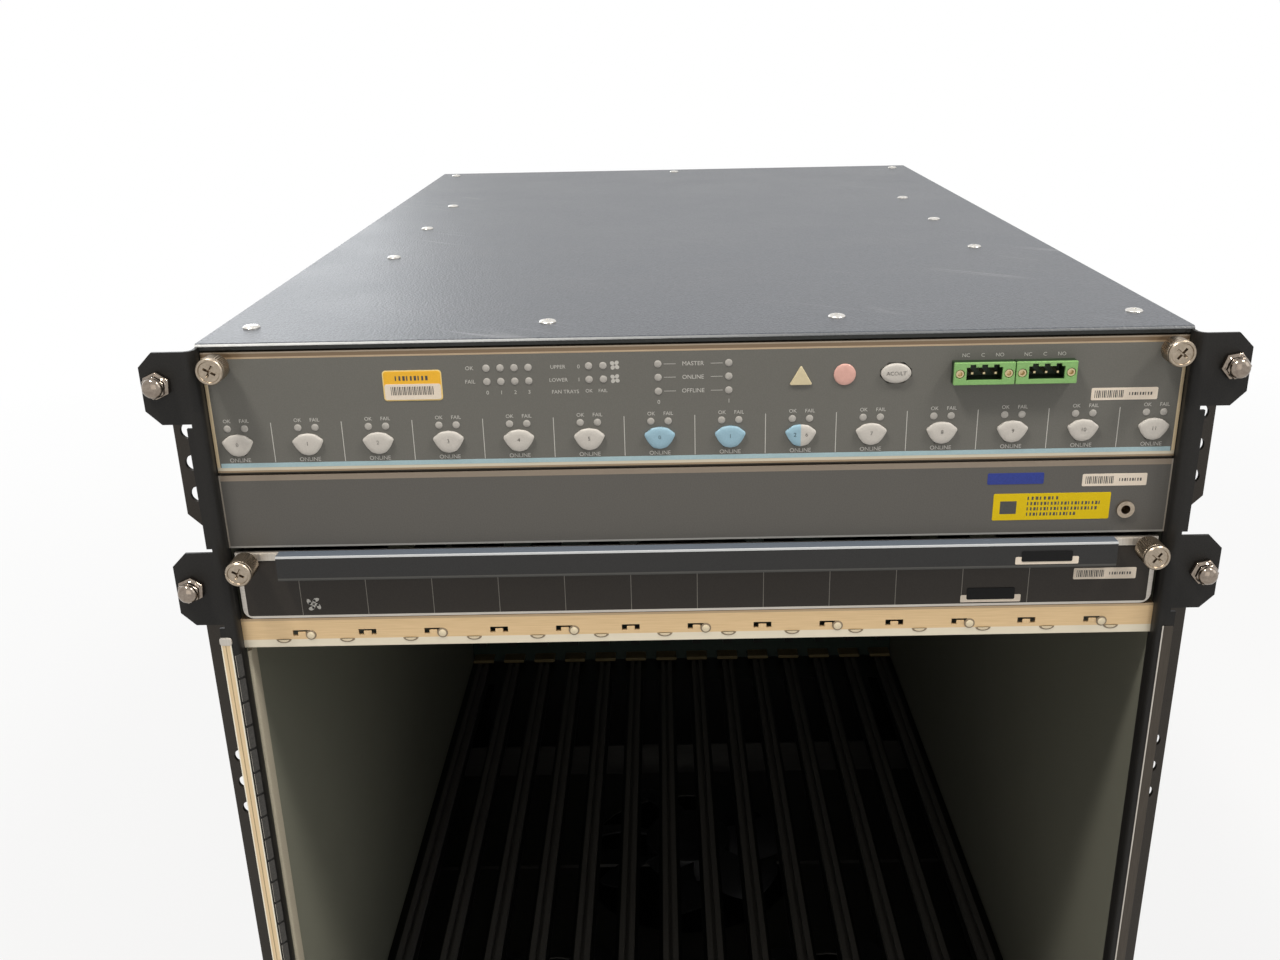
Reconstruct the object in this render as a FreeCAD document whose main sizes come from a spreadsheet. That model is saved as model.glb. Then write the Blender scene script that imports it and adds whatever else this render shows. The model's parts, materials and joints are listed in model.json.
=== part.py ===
import FreeCAD
import Part
import Sketcher
import math
import os
import re

# Router chassis: a folded sheet-metal body with a card cage, a display panel, two fan trays that
# pull out to the front and four power supplies that pull out to the rear.
# Millimetres; +Z up, +Y to the rear, +X to the right. Origin: middle of the base, on the floor.

document = FreeCAD.newDocument("router_chassis")
sheet = document.addObject("Spreadsheet::Sheet", "sizes")

SIZES = {
    # Outer body and sheet metal
    "chassis_width": 441,
    "chassis_height": 705,
    "chassis_depth": 672,
    "wall": 1.5,
    "bend_radius": 5,
    "fit": 0.3,
    "panel_gap": 1,
    "panel_thickness": 2,
    "cover_lip": 3,
    "cover_flange": 10,
    "cover_flange_inset": 40,
    # Heights of the bands on the front, from the top down and from the base up
    "display_height": 57,
    "ground_height": 36,
    "tray_gap": 2.5,
    "tray_height": 34.5,
    "sill_height": 15.2,
    "runner_height": 160,
    "runner_width": 14,
    # Side panel flanges, ears and ball studs
    "ear_proud": 8,
    "ear_reach": 23,
    "flange_reach": 6,
    "upper_ear_height": 33,
    "lower_ear_drop": 97,
    "lower_ear_height": 37,
    "ear_chamfer": 6.5,
    "relief_gap": 2,
    "stud_reach": 15.5,
    "stud_inset": 13.5,
    "stud_hex": 6.4,
    "stud_hex_height": 5,
    "stud_radius": 5,
    "stud_height": 4,
    # Rack flanges
    "rack_reach": 23,
    "rack_slot_reach": 12.05,
    "rack_setback": 18,
    "rack_wall": 2,
    "rack_leg": 40,
    "rack_foot": 20,
    "rack_drop": 30,
    "rack_slot_length": 16,
    "rack_slot_width": 8,
    "rack_slot_pitch": 15.875,
    "rack_unit": 44.45,
    "rack_slot_drop": 45.8,
    "rack_slot_rise": 65.475,
    "rack_notch_drop": 94,
    "rack_notch_height": 38,
    # Card cage
    "cage_depth": 605,
    "board_thickness": 3,
    "sill_return": 9,
    "card_margin": 12.625,
    "card_count": 14,
    "air_slot_width": 15,
    "air_slot_inset": 45,
    "notch_width": 8.6,
    "notch_height": 3,
    "notch_rise": 5.8,
    "guide_width": 11,
    "guide_height": 5,
    "guide_groove": 3,
    "guide_groove_depth": 3.5,
    "connector_width": 9,
    "connector_height": 60,
    "connector_depth": 14,
    "connector_inset": 24,
    # Display panel
    "display_depth": 20,
    "rim_width": 3,
    "rim_side": 1.5,
    "switch_room": 2,
    "display_board_thickness": 1.6,
    "button_margin": 11.39,
    "button_drop": 46.8,
    "button_half": 6.35,
    "button_corner": 1.5,
    "button_crown": 3,
    "button_toe_half": 2.6,
    "button_toe_drop": 5.3,
    "button_proud": 1.5,
    "button_flange": 1.5,
    "button_flange_margin": 1.2,
    "oval_place": 89.8,
    "oval_drop": 19,
    "oval_length": 13.4,
    "oval_height": 9,
    "lamp_drop": 19.2,
    "lamp_height": 0.8,
    "round_lamp_place": 67,
    "round_lamp_radius": 4.9,
    "caution_lamp_place": 47.5,
    "caution_lamp_radius": 5.6,
    "socket_inset": 91,
    "socket_pitch": 27.5,
    "socket_width": 27,
    "socket_height": 10.2,
    "socket_drop": 18.8,
    "socket_proud": 5,
    "socket_hollow_width": 16,
    "socket_hollow_height": 6,
    "socket_hollow_depth": 8,
    # Ground panel and its jack
    "panel_return": 5,
    "jack_inset": 19.5,
    "jack_rise": 11.7,
    "jack_flange_radius": 4.1,
    "jack_flange": 1.2,
    "jack_radius": 3.1,
    "jack_bore": 2.15,
    "jack_length": 16,
    "jack_bore_depth": 13,
    # Thumbscrews and cover screws
    "thumb_inset": 8,
    "thumb_radius": 6,
    "thumb_neck_radius": 4,
    "thumb_neck": 3,
    "display_thumb_length": 10,
    "display_thumb_drop": 5.4,
    "tray_thumb_length": 13,
    "tray_thumb_drop": 4.2,
    "screw_radius": 4,
    "screw_height": 1.4,
    "screw_front_margin": 16,
    "screw_front_inner": 67,
    "screw_front_inset": 30,
    "screw_side_margin": 45.5,
    "screw_side_inset": 210,
    "screw_side_pitch": 113,
    "screw_rear_margin": 14.5,
    "screw_rear_inset": 22,
    # Fan trays
    "tray_clearance": 2,
    "tray_depth": 470,
    "tray_corner": 5,
    "pull_inset": 21,
    "pull_proud": 6.5,
    "pull_drop": 12,
    "fan_side": 16.5,
    "fan_rim": 12,
    "fan_tip_gap": 4,
    "fan_hub_radius": 36,
    "fan_height": 22,
    "fan_bar_width": 20,
    "fan_bar_height": 3,
    "blade_count": 7,
    "blade_sweep": 30,
    "blade_thickness": 2.4,
    # Power supplies and rear panel
    "supply_count": 4,
    "supply_gap": 6,
    "supply_height": 55,
    "supply_depth": 300,
    "supply_face": 2,
    "supply_face_margin": 1.8,
    "handle_half": 34,
    "handle_reach": 30,
    "handle_bar": 7,
    "handle_height": 9,
    "handle_rise": 10,
    "inlet_width": 30,
    "inlet_height": 22,
    "inlet_depth": 14,
    "inlet_rise": 26,
    "vent_width": 16,
    "vent_margin": 5,
    "intake_width": 18,
    "intake_margin": 22,
}

for line, (alias, size) in enumerate(SIZES.items(), start=1):
    sheet.set(f"A{line}", alias)
    sheet.set(f"B{line}", str(size))
    sheet.setAlias(f"B{line}", alias)
document.recompute()

# Planes and levels that several pieces share, written in the sheet's names
HALF = "(chassis_width / 2)"
INNER = "(chassis_width / 2 - wall)"
FRONT = "(0 - chassis_depth / 2)"
BACK = "(chassis_depth / 2)"
TOP = "(chassis_height - wall)"
DISPLAY_TOP = "(chassis_height - cover_lip - panel_gap)"
DISPLAY_LOW = f"({DISPLAY_TOP} - display_height)"
GROUND_TOP = f"({DISPLAY_LOW} - panel_gap)"
GROUND_LOW = f"({GROUND_TOP} - ground_height)"
UPPER_TRAY_TOP = f"({GROUND_LOW} - tray_gap)"
UPPER_TRAY_LOW = f"({UPPER_TRAY_TOP} - tray_height)"
ROOF_TOP = f"({UPPER_TRAY_LOW} - fit)"
LOWER_TRAY_LOW = "(runner_height + fit)"
FLOOR_TOP = f"({LOWER_TRAY_LOW} + tray_height + panel_gap + sill_height)"
MIDPLANE = f"({FRONT} + cage_depth)"
EAR_FRONT = f"({FRONT} - ear_proud)"
UPPER_EAR_LOW = f"({TOP} - upper_ear_height)"
LOWER_EAR_TOP = "(chassis_height - lower_ear_drop)"
LOWER_EAR_LOW = f"({LOWER_EAR_TOP} - lower_ear_height)"
PANEL_BACK = f"({FRONT} + panel_thickness)"
BOARD_FRONT = f"({PANEL_BACK} + button_flange + switch_room)"
BUTTON_HEIGHT = "(chassis_height - button_drop)"
OVAL_HEIGHT = "(chassis_height - oval_drop)"
SOCKET_HEIGHT = "(chassis_height - socket_drop)"
JACK_HEIGHT = f"({GROUND_LOW} + jack_rise)"
SUPPLY_PITCH = f"(2 * {INNER} / supply_count)"
SUPPLY_HALF = f"({SUPPLY_PITCH} / 2 - supply_gap / 2)"
SUPPLY_LOW = f"({DISPLAY_LOW} + fit)"
CARD_PITCH = f"((2 * {INNER} - 2 * card_margin) / (card_count - 1))"
BUTTON_PITCH = f"((2 * {INNER} - 2 * button_margin) / (card_count - 1))"
SOCKET_PLACE = f"({INNER} - socket_inset)"
JACK_PLACE = f"({INNER} - jack_inset)"
THUMB_PLACE = f"({INNER} - thumb_inset)"
TRAY_HALF = f"({INNER} - tray_clearance)"
PULL_HALF = f"({TRAY_HALF} - pull_inset)"
FAN_RADIUS = f"({TRAY_HALF} / 2 - fan_side)"
FAN_PITCH = f"(2 * ({FAN_RADIUS} + fan_rim))"
SIDES = {"left": "-1", "right": "1"}

# Height of the lowest slot in each group of rack slots, and the slots of the group
RACK_GROUPS = (
    ("chassis_height - rack_slot_drop - 2 * rack_slot_pitch", "3"),
    ("chassis_height - rack_slot_drop - 4 * rack_unit - 2 * rack_slot_pitch", "3"),
    ("rack_slot_rise", "2"),
)
# Flat sides of the small turned pieces and of the fans
SCREW_SIDES = 8
STUD_NUT_SIDES = 6
STUD_CAP_SIDES = 8
LENS_SIDES = 12
CAUTION_LENS_SIDES = 3
THUMB_SIDES = 12
THUMB_NECK_SIDES = 8
JACK_SIDES = 8
FAN_PORT_SIDES = 24
FAN_HUB_SIDES = 14
# Side screws of the cover in each row, and relay sockets
SIDE_SCREWS = 3
SOCKET_COUNT = 2
# Corners of the lamp-test button in halves of its length and height
OVAL_CORNERS = ((1, 1 / 3), (1 / 2, 1), (-1 / 2, 1), (-1, 1 / 3),
                (-1, -1 / 3), (-1 / 2, -1), (1 / 2, -1), (1, -1 / 3))

parts = []


def bound(expression):
    """The expression with every size's name led by the sheet's own name."""
    return re.sub(r"[a-z_]+", lambda word: f"sizes.{word[0]}" if word[0] in SIZES else word[0], expression)


def value(expression):
    """The expression's present number."""
    return float(sheet.evalExpression(bound(expression)))


def vector(place):
    return FreeCAD.Vector(value(place[0]), value(place[1]), 0)


def dimension(sketch, kind, elements, expression):
    """Add a dimension to a sketch and bind it to the sheet."""
    index = sketch.addConstraint(Sketcher.Constraint(kind, *elements, value(expression)))
    sketch.setExpression(f"Constraints[{index}]", bound(expression))


def hold(sketch, geometry, point, place):
    """Fix a point of a sketch by its two distances from the sketch's origin."""
    for kind, expression in zip(("DistanceX", "DistanceY"), place):
        dimension(sketch, kind, (-1, 1, geometry, point), expression)


def outline(*corners):
    """Closed outline of straight edges through its corners."""
    def draw(sketch):
        first = sketch.GeometryCount
        count = len(corners)
        for step, corner in enumerate(corners):
            sketch.addGeometry(Part.LineSegment(vector(corner), vector(corners[(step + 1) % count])), False)
        for step, corner in enumerate(corners):
            follower = first + (step + 1) % count
            sketch.addConstraint(Sketcher.Constraint("Coincident", first + step, 2, follower, 1))
            hold(sketch, first + step, 1, corner)
    return draw


def rectangle(left, right, low, high):
    return outline((left, low), (right, low), (right, high), (left, high))


def circle(across, up, radius):
    """Round outline held by its middle and its radius."""
    def draw(sketch):
        middle = vector((across, up))
        index = sketch.addGeometry(Part.Circle(middle, FreeCAD.Vector(0, 0, 1), value(radius)), False)
        hold(sketch, index, 3, (across, up))
        dimension(sketch, "Radius", (index,), radius)
    return draw


def slot(across, up, length, height):
    """Long hole with round ends, lying along the sketch's first axis."""
    def draw(sketch):
        radius = f"({height} / 2)"
        right = (f"{across} + {length} / 2 - {radius}", up)
        left = (f"{across} - {length} / 2 + {radius}", up)
        normal = FreeCAD.Vector(0, 0, 1)
        rise = FreeCAD.Vector(0, value(radius), 0)
        quarter = math.pi / 2
        right_round = Part.Circle(vector(right), normal, value(radius))
        left_round = Part.Circle(vector(left), normal, value(radius))
        first = sketch.GeometryCount
        sketch.addGeometry(Part.ArcOfCircle(right_round, -quarter, quarter), False)
        sketch.addGeometry(Part.LineSegment(vector(right) + rise, vector(left) + rise), False)
        sketch.addGeometry(Part.ArcOfCircle(left_round, quarter, 3 * quarter), False)
        sketch.addGeometry(Part.LineSegment(vector(left) - rise, vector(right) - rise), False)
        for step in range(4):
            follower = first + (step + 1) % 4
            sketch.addConstraint(Sketcher.Constraint("Tangent", first + step, 2, follower, 1))
        sketch.addConstraint(Sketcher.Constraint("Equal", first, first + 2))
        hold(sketch, first, 3, right)
        hold(sketch, first + 2, 3, left)
        dimension(sketch, "Radius", (first,), radius)
    return draw


def new_body(label):
    body = document.addObject("PartDesign::Body", label)
    body.Label = label
    parts.append(body)
    return body


def origin_feature(body, role):
    return next(feature for feature in body.Origin.OriginFeatures if feature.Role == role)


def sketch_on(body, plane, level, outlines):
    """Sketch on one of the body's own planes, moved to a level; the XZ plane faces the front."""
    sketch = body.newObject("Sketcher::SketchObject", "sketch")
    sketch.AttachmentSupport = [(origin_feature(body, f"{plane}_Plane"), "")]
    sketch.MapMode = "FlatFace"
    sketch.setExpression("AttachmentOffset.Base.z", bound(f"0 - ({level})" if plane == "XZ" else level))
    for draw in outlines:
        draw(sketch)
    return sketch


def add(body, plane, low, high, *outlines):
    """Pad outlines from a low to a high level across the plane."""
    pad = body.newObject("PartDesign::Pad", "pad")
    pad.Profile = sketch_on(body, plane, high if plane == "XZ" else low, outlines)
    pad.setExpression("Length", bound(f"({high}) - ({low})"))
    body.Tip = pad
    document.recompute()
    return pad


def cut(body, plane, low, high, *outlines):
    """Pocket outlines out of the body from a low to a high level across the plane."""
    before = body.Shape.Volume
    pocket = body.newObject("PartDesign::Pocket", "pocket")
    pocket.Profile = sketch_on(body, plane, low if plane == "XZ" else high, outlines)
    pocket.setExpression("Length", bound(f"({high}) - ({low})"))
    body.Tip = pocket
    document.recompute()
    if body.Shape.Volume >= before:
        raise RuntimeError(f"a pocket of {body.Label} cuts nothing")
    return pocket


def prism_feature(body, kind, sides, radius, height, plane, place):
    """Regular prism, Additive or Subtractive as kind says; its place is in the plane's own axes."""
    before = 0 if body.Shape.isNull() else body.Shape.Volume
    feature = body.newObject(f"PartDesign::{kind}Prism", "prism")
    feature.Polygon = sides
    feature.setExpression("Circumradius", bound(radius))
    feature.setExpression("Height", bound(height))
    feature.AttachmentSupport = [(origin_feature(body, f"{plane}_Plane"), "")]
    feature.MapMode = "FlatFace"
    for axis, expression in zip("xyz", place):
        feature.setExpression(f"AttachmentOffset.Base.{axis}", bound(expression))
    body.Tip = feature
    document.recompute()
    if body.Shape.Volume == before:
        raise RuntimeError(f"a prism of {body.Label} changes nothing")


def row(body, feature, axis, pitch, count):
    """Repeat a feature along one of the body's axes."""
    pattern = body.newObject("PartDesign::LinearPattern", "row")
    pattern.Originals = [feature]
    pattern.Direction = (origin_feature(body, f"{axis}_Axis"), [""])
    pattern.Mode = "Spacing"
    pattern.setExpression("Offset", bound(pitch))
    pattern.setExpression("Occurrences", bound(count))
    body.Tip = pattern
    document.recompute()
    return pattern


def soften(body, radius, chosen):
    """Round the edges of the body's last feature that a test picks."""
    last = body.Tip
    names = [f"Edge{number}" for number, edge in enumerate(last.Shape.Edges, start=1) if chosen(edge)]
    fillet = body.newObject("PartDesign::Fillet", "rounding")
    fillet.Base = (last, names)
    fillet.setExpression("Radius", bound(radius))
    body.Tip = fillet
    document.recompute()


def runs_through(axis, **places):
    """Test for a straight edge along an axis whose middle lies at the given places."""
    def chosen(edge):
        middle = edge.BoundBox.Center
        length = {"x": edge.BoundBox.XLength, "y": edge.BoundBox.YLength, "z": edge.BoundBox.ZLength}
        across = sum(size for name, size in length.items() if name != axis)
        at_place = all(abs(getattr(middle, name) - value(place)) < 0.01 for name, place in places.items())
        return across < 0.01 and at_place
    return chosen


def put(solid, place, turn=FreeCAD.Rotation()):
    """Set a primitive's place from the sheet."""
    solid.Placement = FreeCAD.Placement(FreeCAD.Vector(), turn)
    for axis, expression in zip("xyz", place):
        solid.setExpression(f"Placement.Base.{axis}", bound(expression))
    return solid


def block(left, right, front, back, low, high):
    box = document.addObject("Part::Box", "block")
    for name, small, large in (("Length", left, right), ("Width", front, back), ("Height", low, high)):
        box.setExpression(name, bound(f"({large}) - ({small})"))
    return put(box, (left, front, low))


FORWARD = FreeCAD.Rotation(FreeCAD.Vector(1, 0, 0), 90)


def rod(radius, length, place):
    """Cylinder that points to the front."""
    cylinder = document.addObject("Part::Cylinder", "rod")
    cylinder.setExpression("Radius", bound(radius))
    cylinder.setExpression("Height", bound(length))
    return put(cylinder, place, FORWARD)


def prism(sides, radius, height, place, turn=FreeCAD.Rotation()):
    solid = document.addObject("Part::Prism", "prism")
    solid.Polygon = sides
    solid.setExpression("Circumradius", bound(radius))
    solid.setExpression("Height", bound(height))
    return put(solid, place, turn)


def joined(kind, base, tool):
    """Boolean of two solids: kind is Fuse or Cut."""
    result = document.addObject(f"Part::{kind}", kind.lower())
    result.Base = base
    result.Tool = tool
    return result


def group(label, members):
    """Like pieces that share one node, each its own solid."""
    compound = document.addObject("Part::Compound", label)
    compound.Label = label
    compound.Links = members
    parts.append(compound)


def top_cover():
    body = new_body("top_cover")
    add(body, "XY", TOP, "chassis_height", rectangle(f"-{HALF}", HALF, FRONT, BACK))
    add(body, "XZ", FRONT, f"{FRONT} + wall", rectangle(f"-{HALF}", HALF, "chassis_height - cover_lip", TOP))
    start = f"{FRONT} + cover_flange_inset"
    end = f"{BACK} - cover_flange_inset"
    for side in SIDES.values():
        flange = rectangle(f"{side} * ({INNER} - wall)", f"{side} * {INNER}", f"{TOP} - cover_flange", TOP)
        add(body, "XZ", start, end, flange)
    soften(body, "wall", runs_through("x", y=FRONT, z="chassis_height"))


def cover_screws():
    places = []
    for side in SIDES.values():
        places.append((f"{side} * ({HALF} - screw_front_margin)", f"{FRONT} + screw_front_inset"))
        places.append((f"{side} * screw_front_inner", f"{FRONT} + screw_front_inset"))
        for step in range(SIDE_SCREWS):
            depth = f"{FRONT} + screw_side_inset + {step} * screw_side_pitch"
            places.append((f"{side} * ({HALF} - screw_side_margin)", depth))
        places.append((f"{side} * ({HALF} - screw_rear_margin)", f"{BACK} - screw_rear_inset"))
    places.append(("0", f"{BACK} - screw_rear_inset"))
    heads = [prism(SCREW_SIDES, "screw_radius", "screw_height", (x, y, "chassis_height")) for x, y in places]
    group("cover_screws", heads)


def side_panel(name, side):
    """Side sheet whose front edge is bent outwards, with two wider ears that carry the ball studs."""
    body = new_body(f"{name}_side_panel")
    flange = f"{side} * ({HALF} + flange_reach)"
    inner = f"{side} * {INNER}"
    outer = f"{side} * {HALF}"
    bend_back = f"{EAR_FRONT} + wall"
    profile = outline((inner, BACK), (inner, EAR_FRONT), (flange, EAR_FRONT),
                      (flange, bend_back), (outer, bend_back), (outer, BACK))
    add(body, "XY", "wall", TOP, profile)
    soften(body, "bend_radius", runs_through("z", x=inner, y=EAR_FRONT))
    soften(body, "bend_radius - wall", runs_through("z", x=outer, y=bend_back))
    bend_end = f"{side} * ({INNER} + bend_radius)"
    tip = f"{side} * ({HALF} + ear_reach)"
    shoulder = f"{side} * ({HALF} + ear_reach - ear_chamfer)"
    for low, high in ((UPPER_EAR_LOW, TOP), (LOWER_EAR_LOW, LOWER_EAR_TOP)):
        ear = outline((bend_end, low), (shoulder, low), (tip, f"{low} + ear_chamfer"),
                      (tip, f"{high} - ear_chamfer"), (shoulder, high), (bend_end, high))
        add(body, "XZ", EAR_FRONT, bend_back, ear)
    reliefs = []
    for low in (f"{UPPER_EAR_LOW} - relief_gap", LOWER_EAR_TOP, f"{LOWER_EAR_LOW} - relief_gap"):
        reliefs.append(rectangle(bend_end, tip, low, f"{low} + relief_gap"))
    cut(body, "XZ", EAR_FRONT, bend_back, *reliefs)


def rack_flange(name, side):
    """Angle on the side panel, drilled with the slots of a 19 inch rack."""
    body = new_body(f"{name}_rack_flange")
    front = f"({FRONT} + rack_setback)"
    back = f"{front} + rack_wall"
    inner = f"{side} * {HALF}"
    leg = f"{side} * ({HALF} + rack_wall)"
    outer = f"{side} * ({HALF} + rack_reach)"
    profile = outline((inner, front), (outer, front), (outer, back), (leg, back),
                      (leg, f"{front} + rack_leg"), (inner, f"{front} + rack_leg"))
    add(body, "XY", "rack_foot", "chassis_height - rack_drop", profile)
    notch_top = "chassis_height - rack_notch_drop"
    notch_low = f"({notch_top} - rack_notch_height)"
    notch_root = f"{side} * ({HALF} + flange_reach)"
    beyond = f"{side} * ({HALF} + rack_reach + ear_chamfer)"
    notch = outline((notch_root, notch_low), (beyond, notch_low),
                    (beyond, f"{notch_top} + 2 * ear_chamfer"), (outer, f"{notch_top} + ear_chamfer"),
                    (f"{outer} - {side} * ear_chamfer", notch_top), (notch_root, notch_top))
    cut(body, "XZ", front, back, notch)
    for lowest, count in RACK_GROUPS:
        hole = slot(f"{side} * ({HALF} + rack_slot_reach)", lowest, "rack_slot_length", "rack_slot_width")
        row(body, cut(body, "XZ", front, back, hole), "Z", "rack_slot_pitch", count)


def ball_studs():
    """Hexagon-based studs on the ears, which a snap-on front cover clips over."""
    studs = []
    for side in SIDES.values():
        across = f"{side} * ({HALF} + stud_reach)"
        for height in (f"{TOP} - stud_inset", f"{LOWER_EAR_TOP} - lower_ear_height / 2"):
            nut = prism(STUD_NUT_SIDES, "stud_hex", "stud_hex_height", (across, EAR_FRONT, height), FORWARD)
            neck_front = f"{EAR_FRONT} - stud_hex_height"
            cap = prism(STUD_CAP_SIDES, "stud_radius", "stud_height", (across, neck_front, height), FORWARD)
            studs.append(joined("Fuse", nut, cap))
    group("ball_studs", studs)


def base_pan():
    """Floor sheet with upturned sides whose inward lips carry the lower fan tray."""
    body = new_body("base_pan")
    add(body, "XY", "0", "wall", rectangle(f"-{HALF}", HALF, FRONT, BACK))
    lip = "runner_height - wall"
    for side in SIDES.values():
        wall_in = f"{side} * ({INNER} - wall)"
        lip_in = f"{side} * ({INNER} - runner_width)"
        outer = f"{side} * {INNER}"
        profile = outline((outer, "wall"), (outer, "runner_height"), (lip_in, "runner_height"),
                          (lip_in, lip), (wall_in, lip), (wall_in, "wall"))
        add(body, "XZ", f"{FRONT} + wall", f"{BACK} - wall", profile)


def rear_panel():
    body = new_body("rear_panel")
    add(body, "XZ", f"{BACK} - wall", BACK, rectangle(f"-{INNER}", INNER, "wall", TOP))
    first = f"(-{INNER} + {SUPPLY_PITCH} / 2)"
    bay = rectangle(f"{first} - {SUPPLY_HALF} - fit", f"{first} + {SUPPLY_HALF} + fit",
                    DISPLAY_LOW, f"{SUPPLY_LOW} + supply_height + fit")
    row(body, cut(body, "XZ", f"{BACK} - wall", BACK, bay), "X", SUPPLY_PITCH, "supply_count")
    vent_start = f"(-(card_count - 1) / 2 * {CARD_PITCH})"
    vent = rectangle(f"{vent_start} - vent_width / 2", f"{vent_start} + vent_width / 2",
                     f"{GROUND_LOW} + vent_margin", f"{GROUND_TOP} - vent_margin")
    row(body, cut(body, "XZ", f"{BACK} - wall", BACK, vent), "X", CARD_PITCH, "card_count")


def power_deck():
    """Shelf that carries the display in front and the power supplies behind it."""
    body = new_body("power_deck")
    add(body, "XY", f"{DISPLAY_LOW} - wall", DISPLAY_LOW,
        rectangle(f"-{INNER}", INNER, f"{FRONT} + panel_return + panel_gap", f"{BACK} - wall"))


def cage_shelf(name, top):
    """Roof or floor of the card cage: one sheet, folded down and back in at the front as a sill."""
    body = new_body(name)
    sheet_low = f"{top} - wall"
    sill_low = f"({top} - sill_height)"
    back = f"{MIDPLANE} + board_thickness"
    fold = f"{FRONT} + wall"
    profile = outline((FRONT, top), (FRONT, sill_low), (f"{FRONT} + sill_return", sill_low),
                      (f"{FRONT} + sill_return", f"{sill_low} + wall"), (fold, f"{sill_low} + wall"),
                      (fold, sheet_low), (back, sheet_low), (back, top))
    add(body, "YZ", f"-{INNER}", INNER, profile)
    first = f"(-(card_count - 2) / 2 * {CARD_PITCH})"
    air = rectangle(f"{first} - air_slot_width / 2", f"{first} + air_slot_width / 2",
                    f"{FRONT} + air_slot_inset", f"{MIDPLANE} - air_slot_inset")
    row(body, cut(body, "XY", sheet_low, top, air), "X", CARD_PITCH, "card_count - 1")
    notch_low = f"{sill_low} + notch_rise"
    notch = rectangle(f"{first} - notch_width / 2", f"{first} + notch_width / 2",
                      notch_low, f"{notch_low} + notch_height")
    row(body, cut(body, "XZ", FRONT, fold, notch), "X", CARD_PITCH, "card_count - 1")


def card_guides():
    """Grooved rails, one above and one below each card's place."""
    guides = []
    start = f"{FRONT} + sill_return"
    end = f"{MIDPLANE} - connector_depth - fit"
    roof = f"({ROOF_TOP} - wall)"
    levels = (
        (FLOOR_TOP, f"{FLOOR_TOP} + guide_height", f"{FLOOR_TOP} + guide_height - guide_groove_depth",
         f"{FLOOR_TOP} + guide_height"),
        (f"{roof} - guide_height", roof, f"{roof} - guide_height",
         f"{roof} - guide_height + guide_groove_depth"),
    )
    for low, high, groove_low, groove_high in levels:
        for card in range(SIZES["card_count"]):
            middle = f"(({card} - (card_count - 1) / 2) * {CARD_PITCH})"
            rail = block(f"{middle} - guide_width / 2", f"{middle} + guide_width / 2", start, end, low, high)
            groove = block(f"{middle} - guide_groove / 2", f"{middle} + guide_groove / 2", start, end,
                           groove_low, groove_high)
            guides.append(joined("Cut", rail, groove))
    group("card_guides", guides)


def midplane():
    body = new_body("midplane")
    add(body, "XZ", MIDPLANE, f"{MIDPLANE} + board_thickness",
        rectangle(f"-{INNER} + fit", f"{INNER} - fit", FLOOR_TOP, f"{ROOF_TOP} - wall"))
    sockets = []
    for card in range(SIZES["card_count"]):
        middle = f"(({card} - (card_count - 1) / 2) * {CARD_PITCH})"
        upper_low = f"{ROOF_TOP} - wall - connector_inset - connector_height"
        for low in (f"{FLOOR_TOP} + connector_inset", upper_low):
            sockets.append(block(f"{middle} - connector_width / 2", f"{middle} + connector_width / 2",
                                 f"{MIDPLANE} - connector_depth", MIDPLANE, low, f"{low} + connector_height"))
    group("midplane_connectors", sockets)


def display():
    """Framed panel with its board behind it; the buttons, lamps and sockets follow as pieces of their own."""
    outer_half = f"({INNER} - fit)"
    window_half = f"({outer_half} - rim_side)"
    window = rectangle(f"-{window_half}", window_half,
                       f"{DISPLAY_LOW} + rim_width", f"{DISPLAY_TOP} - rim_width")
    frame = new_body("display_frame")
    add(frame, "XZ", FRONT, f"{FRONT} + display_depth",
        rectangle(f"-{outer_half}", outer_half, DISPLAY_LOW, DISPLAY_TOP))
    cut(frame, "XZ", FRONT, f"{FRONT} + display_depth", window)

    panel = new_body("display_panel")
    add(panel, "XZ", FRONT, PANEL_BACK, window)
    first = f"(-(card_count - 1) / 2 * {BUTTON_PITCH})"
    row(panel, cut(panel, "XZ", FRONT, PANEL_BACK, shield(first, "fit")), "X", BUTTON_PITCH, "card_count")
    cut(panel, "XZ", FRONT, PANEL_BACK, oval("fit"))
    hole = rectangle(f"{SOCKET_PLACE} - socket_width / 2", f"{SOCKET_PLACE} + socket_width / 2",
                     f"{SOCKET_HEIGHT} - socket_height / 2", f"{SOCKET_HEIGHT} + socket_height / 2")
    row(panel, cut(panel, "XZ", FRONT, PANEL_BACK, hole), "X", "socket_pitch", str(SOCKET_COUNT))

    board = new_body("display_board")
    add(board, "XZ", BOARD_FRONT, f"{BOARD_FRONT} + display_board_thickness", window)


def shield(middle, room):
    """Outline of a slot button: arched top, straight flanks and a narrow toe."""
    half = f"(button_half + {room})"
    toe_half = f"(button_toe_half + {room})"
    corner = f"({BUTTON_HEIGHT} + button_corner)"
    toe = f"({BUTTON_HEIGHT} - button_toe_drop - {room})"
    crown = f"(button_crown + {room})"
    shoulder = f"{corner} + 3 / 4 * {crown}"
    return outline((f"{middle} + {half}", corner), (f"{middle} + {half} / 2", shoulder),
                   (middle, f"{corner} + {crown}"), (f"{middle} - {half} / 2", shoulder),
                   (f"{middle} - {half}", corner), (f"{middle} - {toe_half}", toe),
                   (f"{middle} + {toe_half}", toe))


def oval(room):
    """Outline of the lamp-test button: a bar with its ends taken in by three chamfers each."""
    half = f"(oval_length / 2 + {room})"
    rise = f"(oval_height / 2 + {room})"
    return outline(*[(f"oval_place + {across} * {half}", f"{OVAL_HEIGHT} + {up} * {rise}")
                     for across, up in OVAL_CORNERS])


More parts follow.
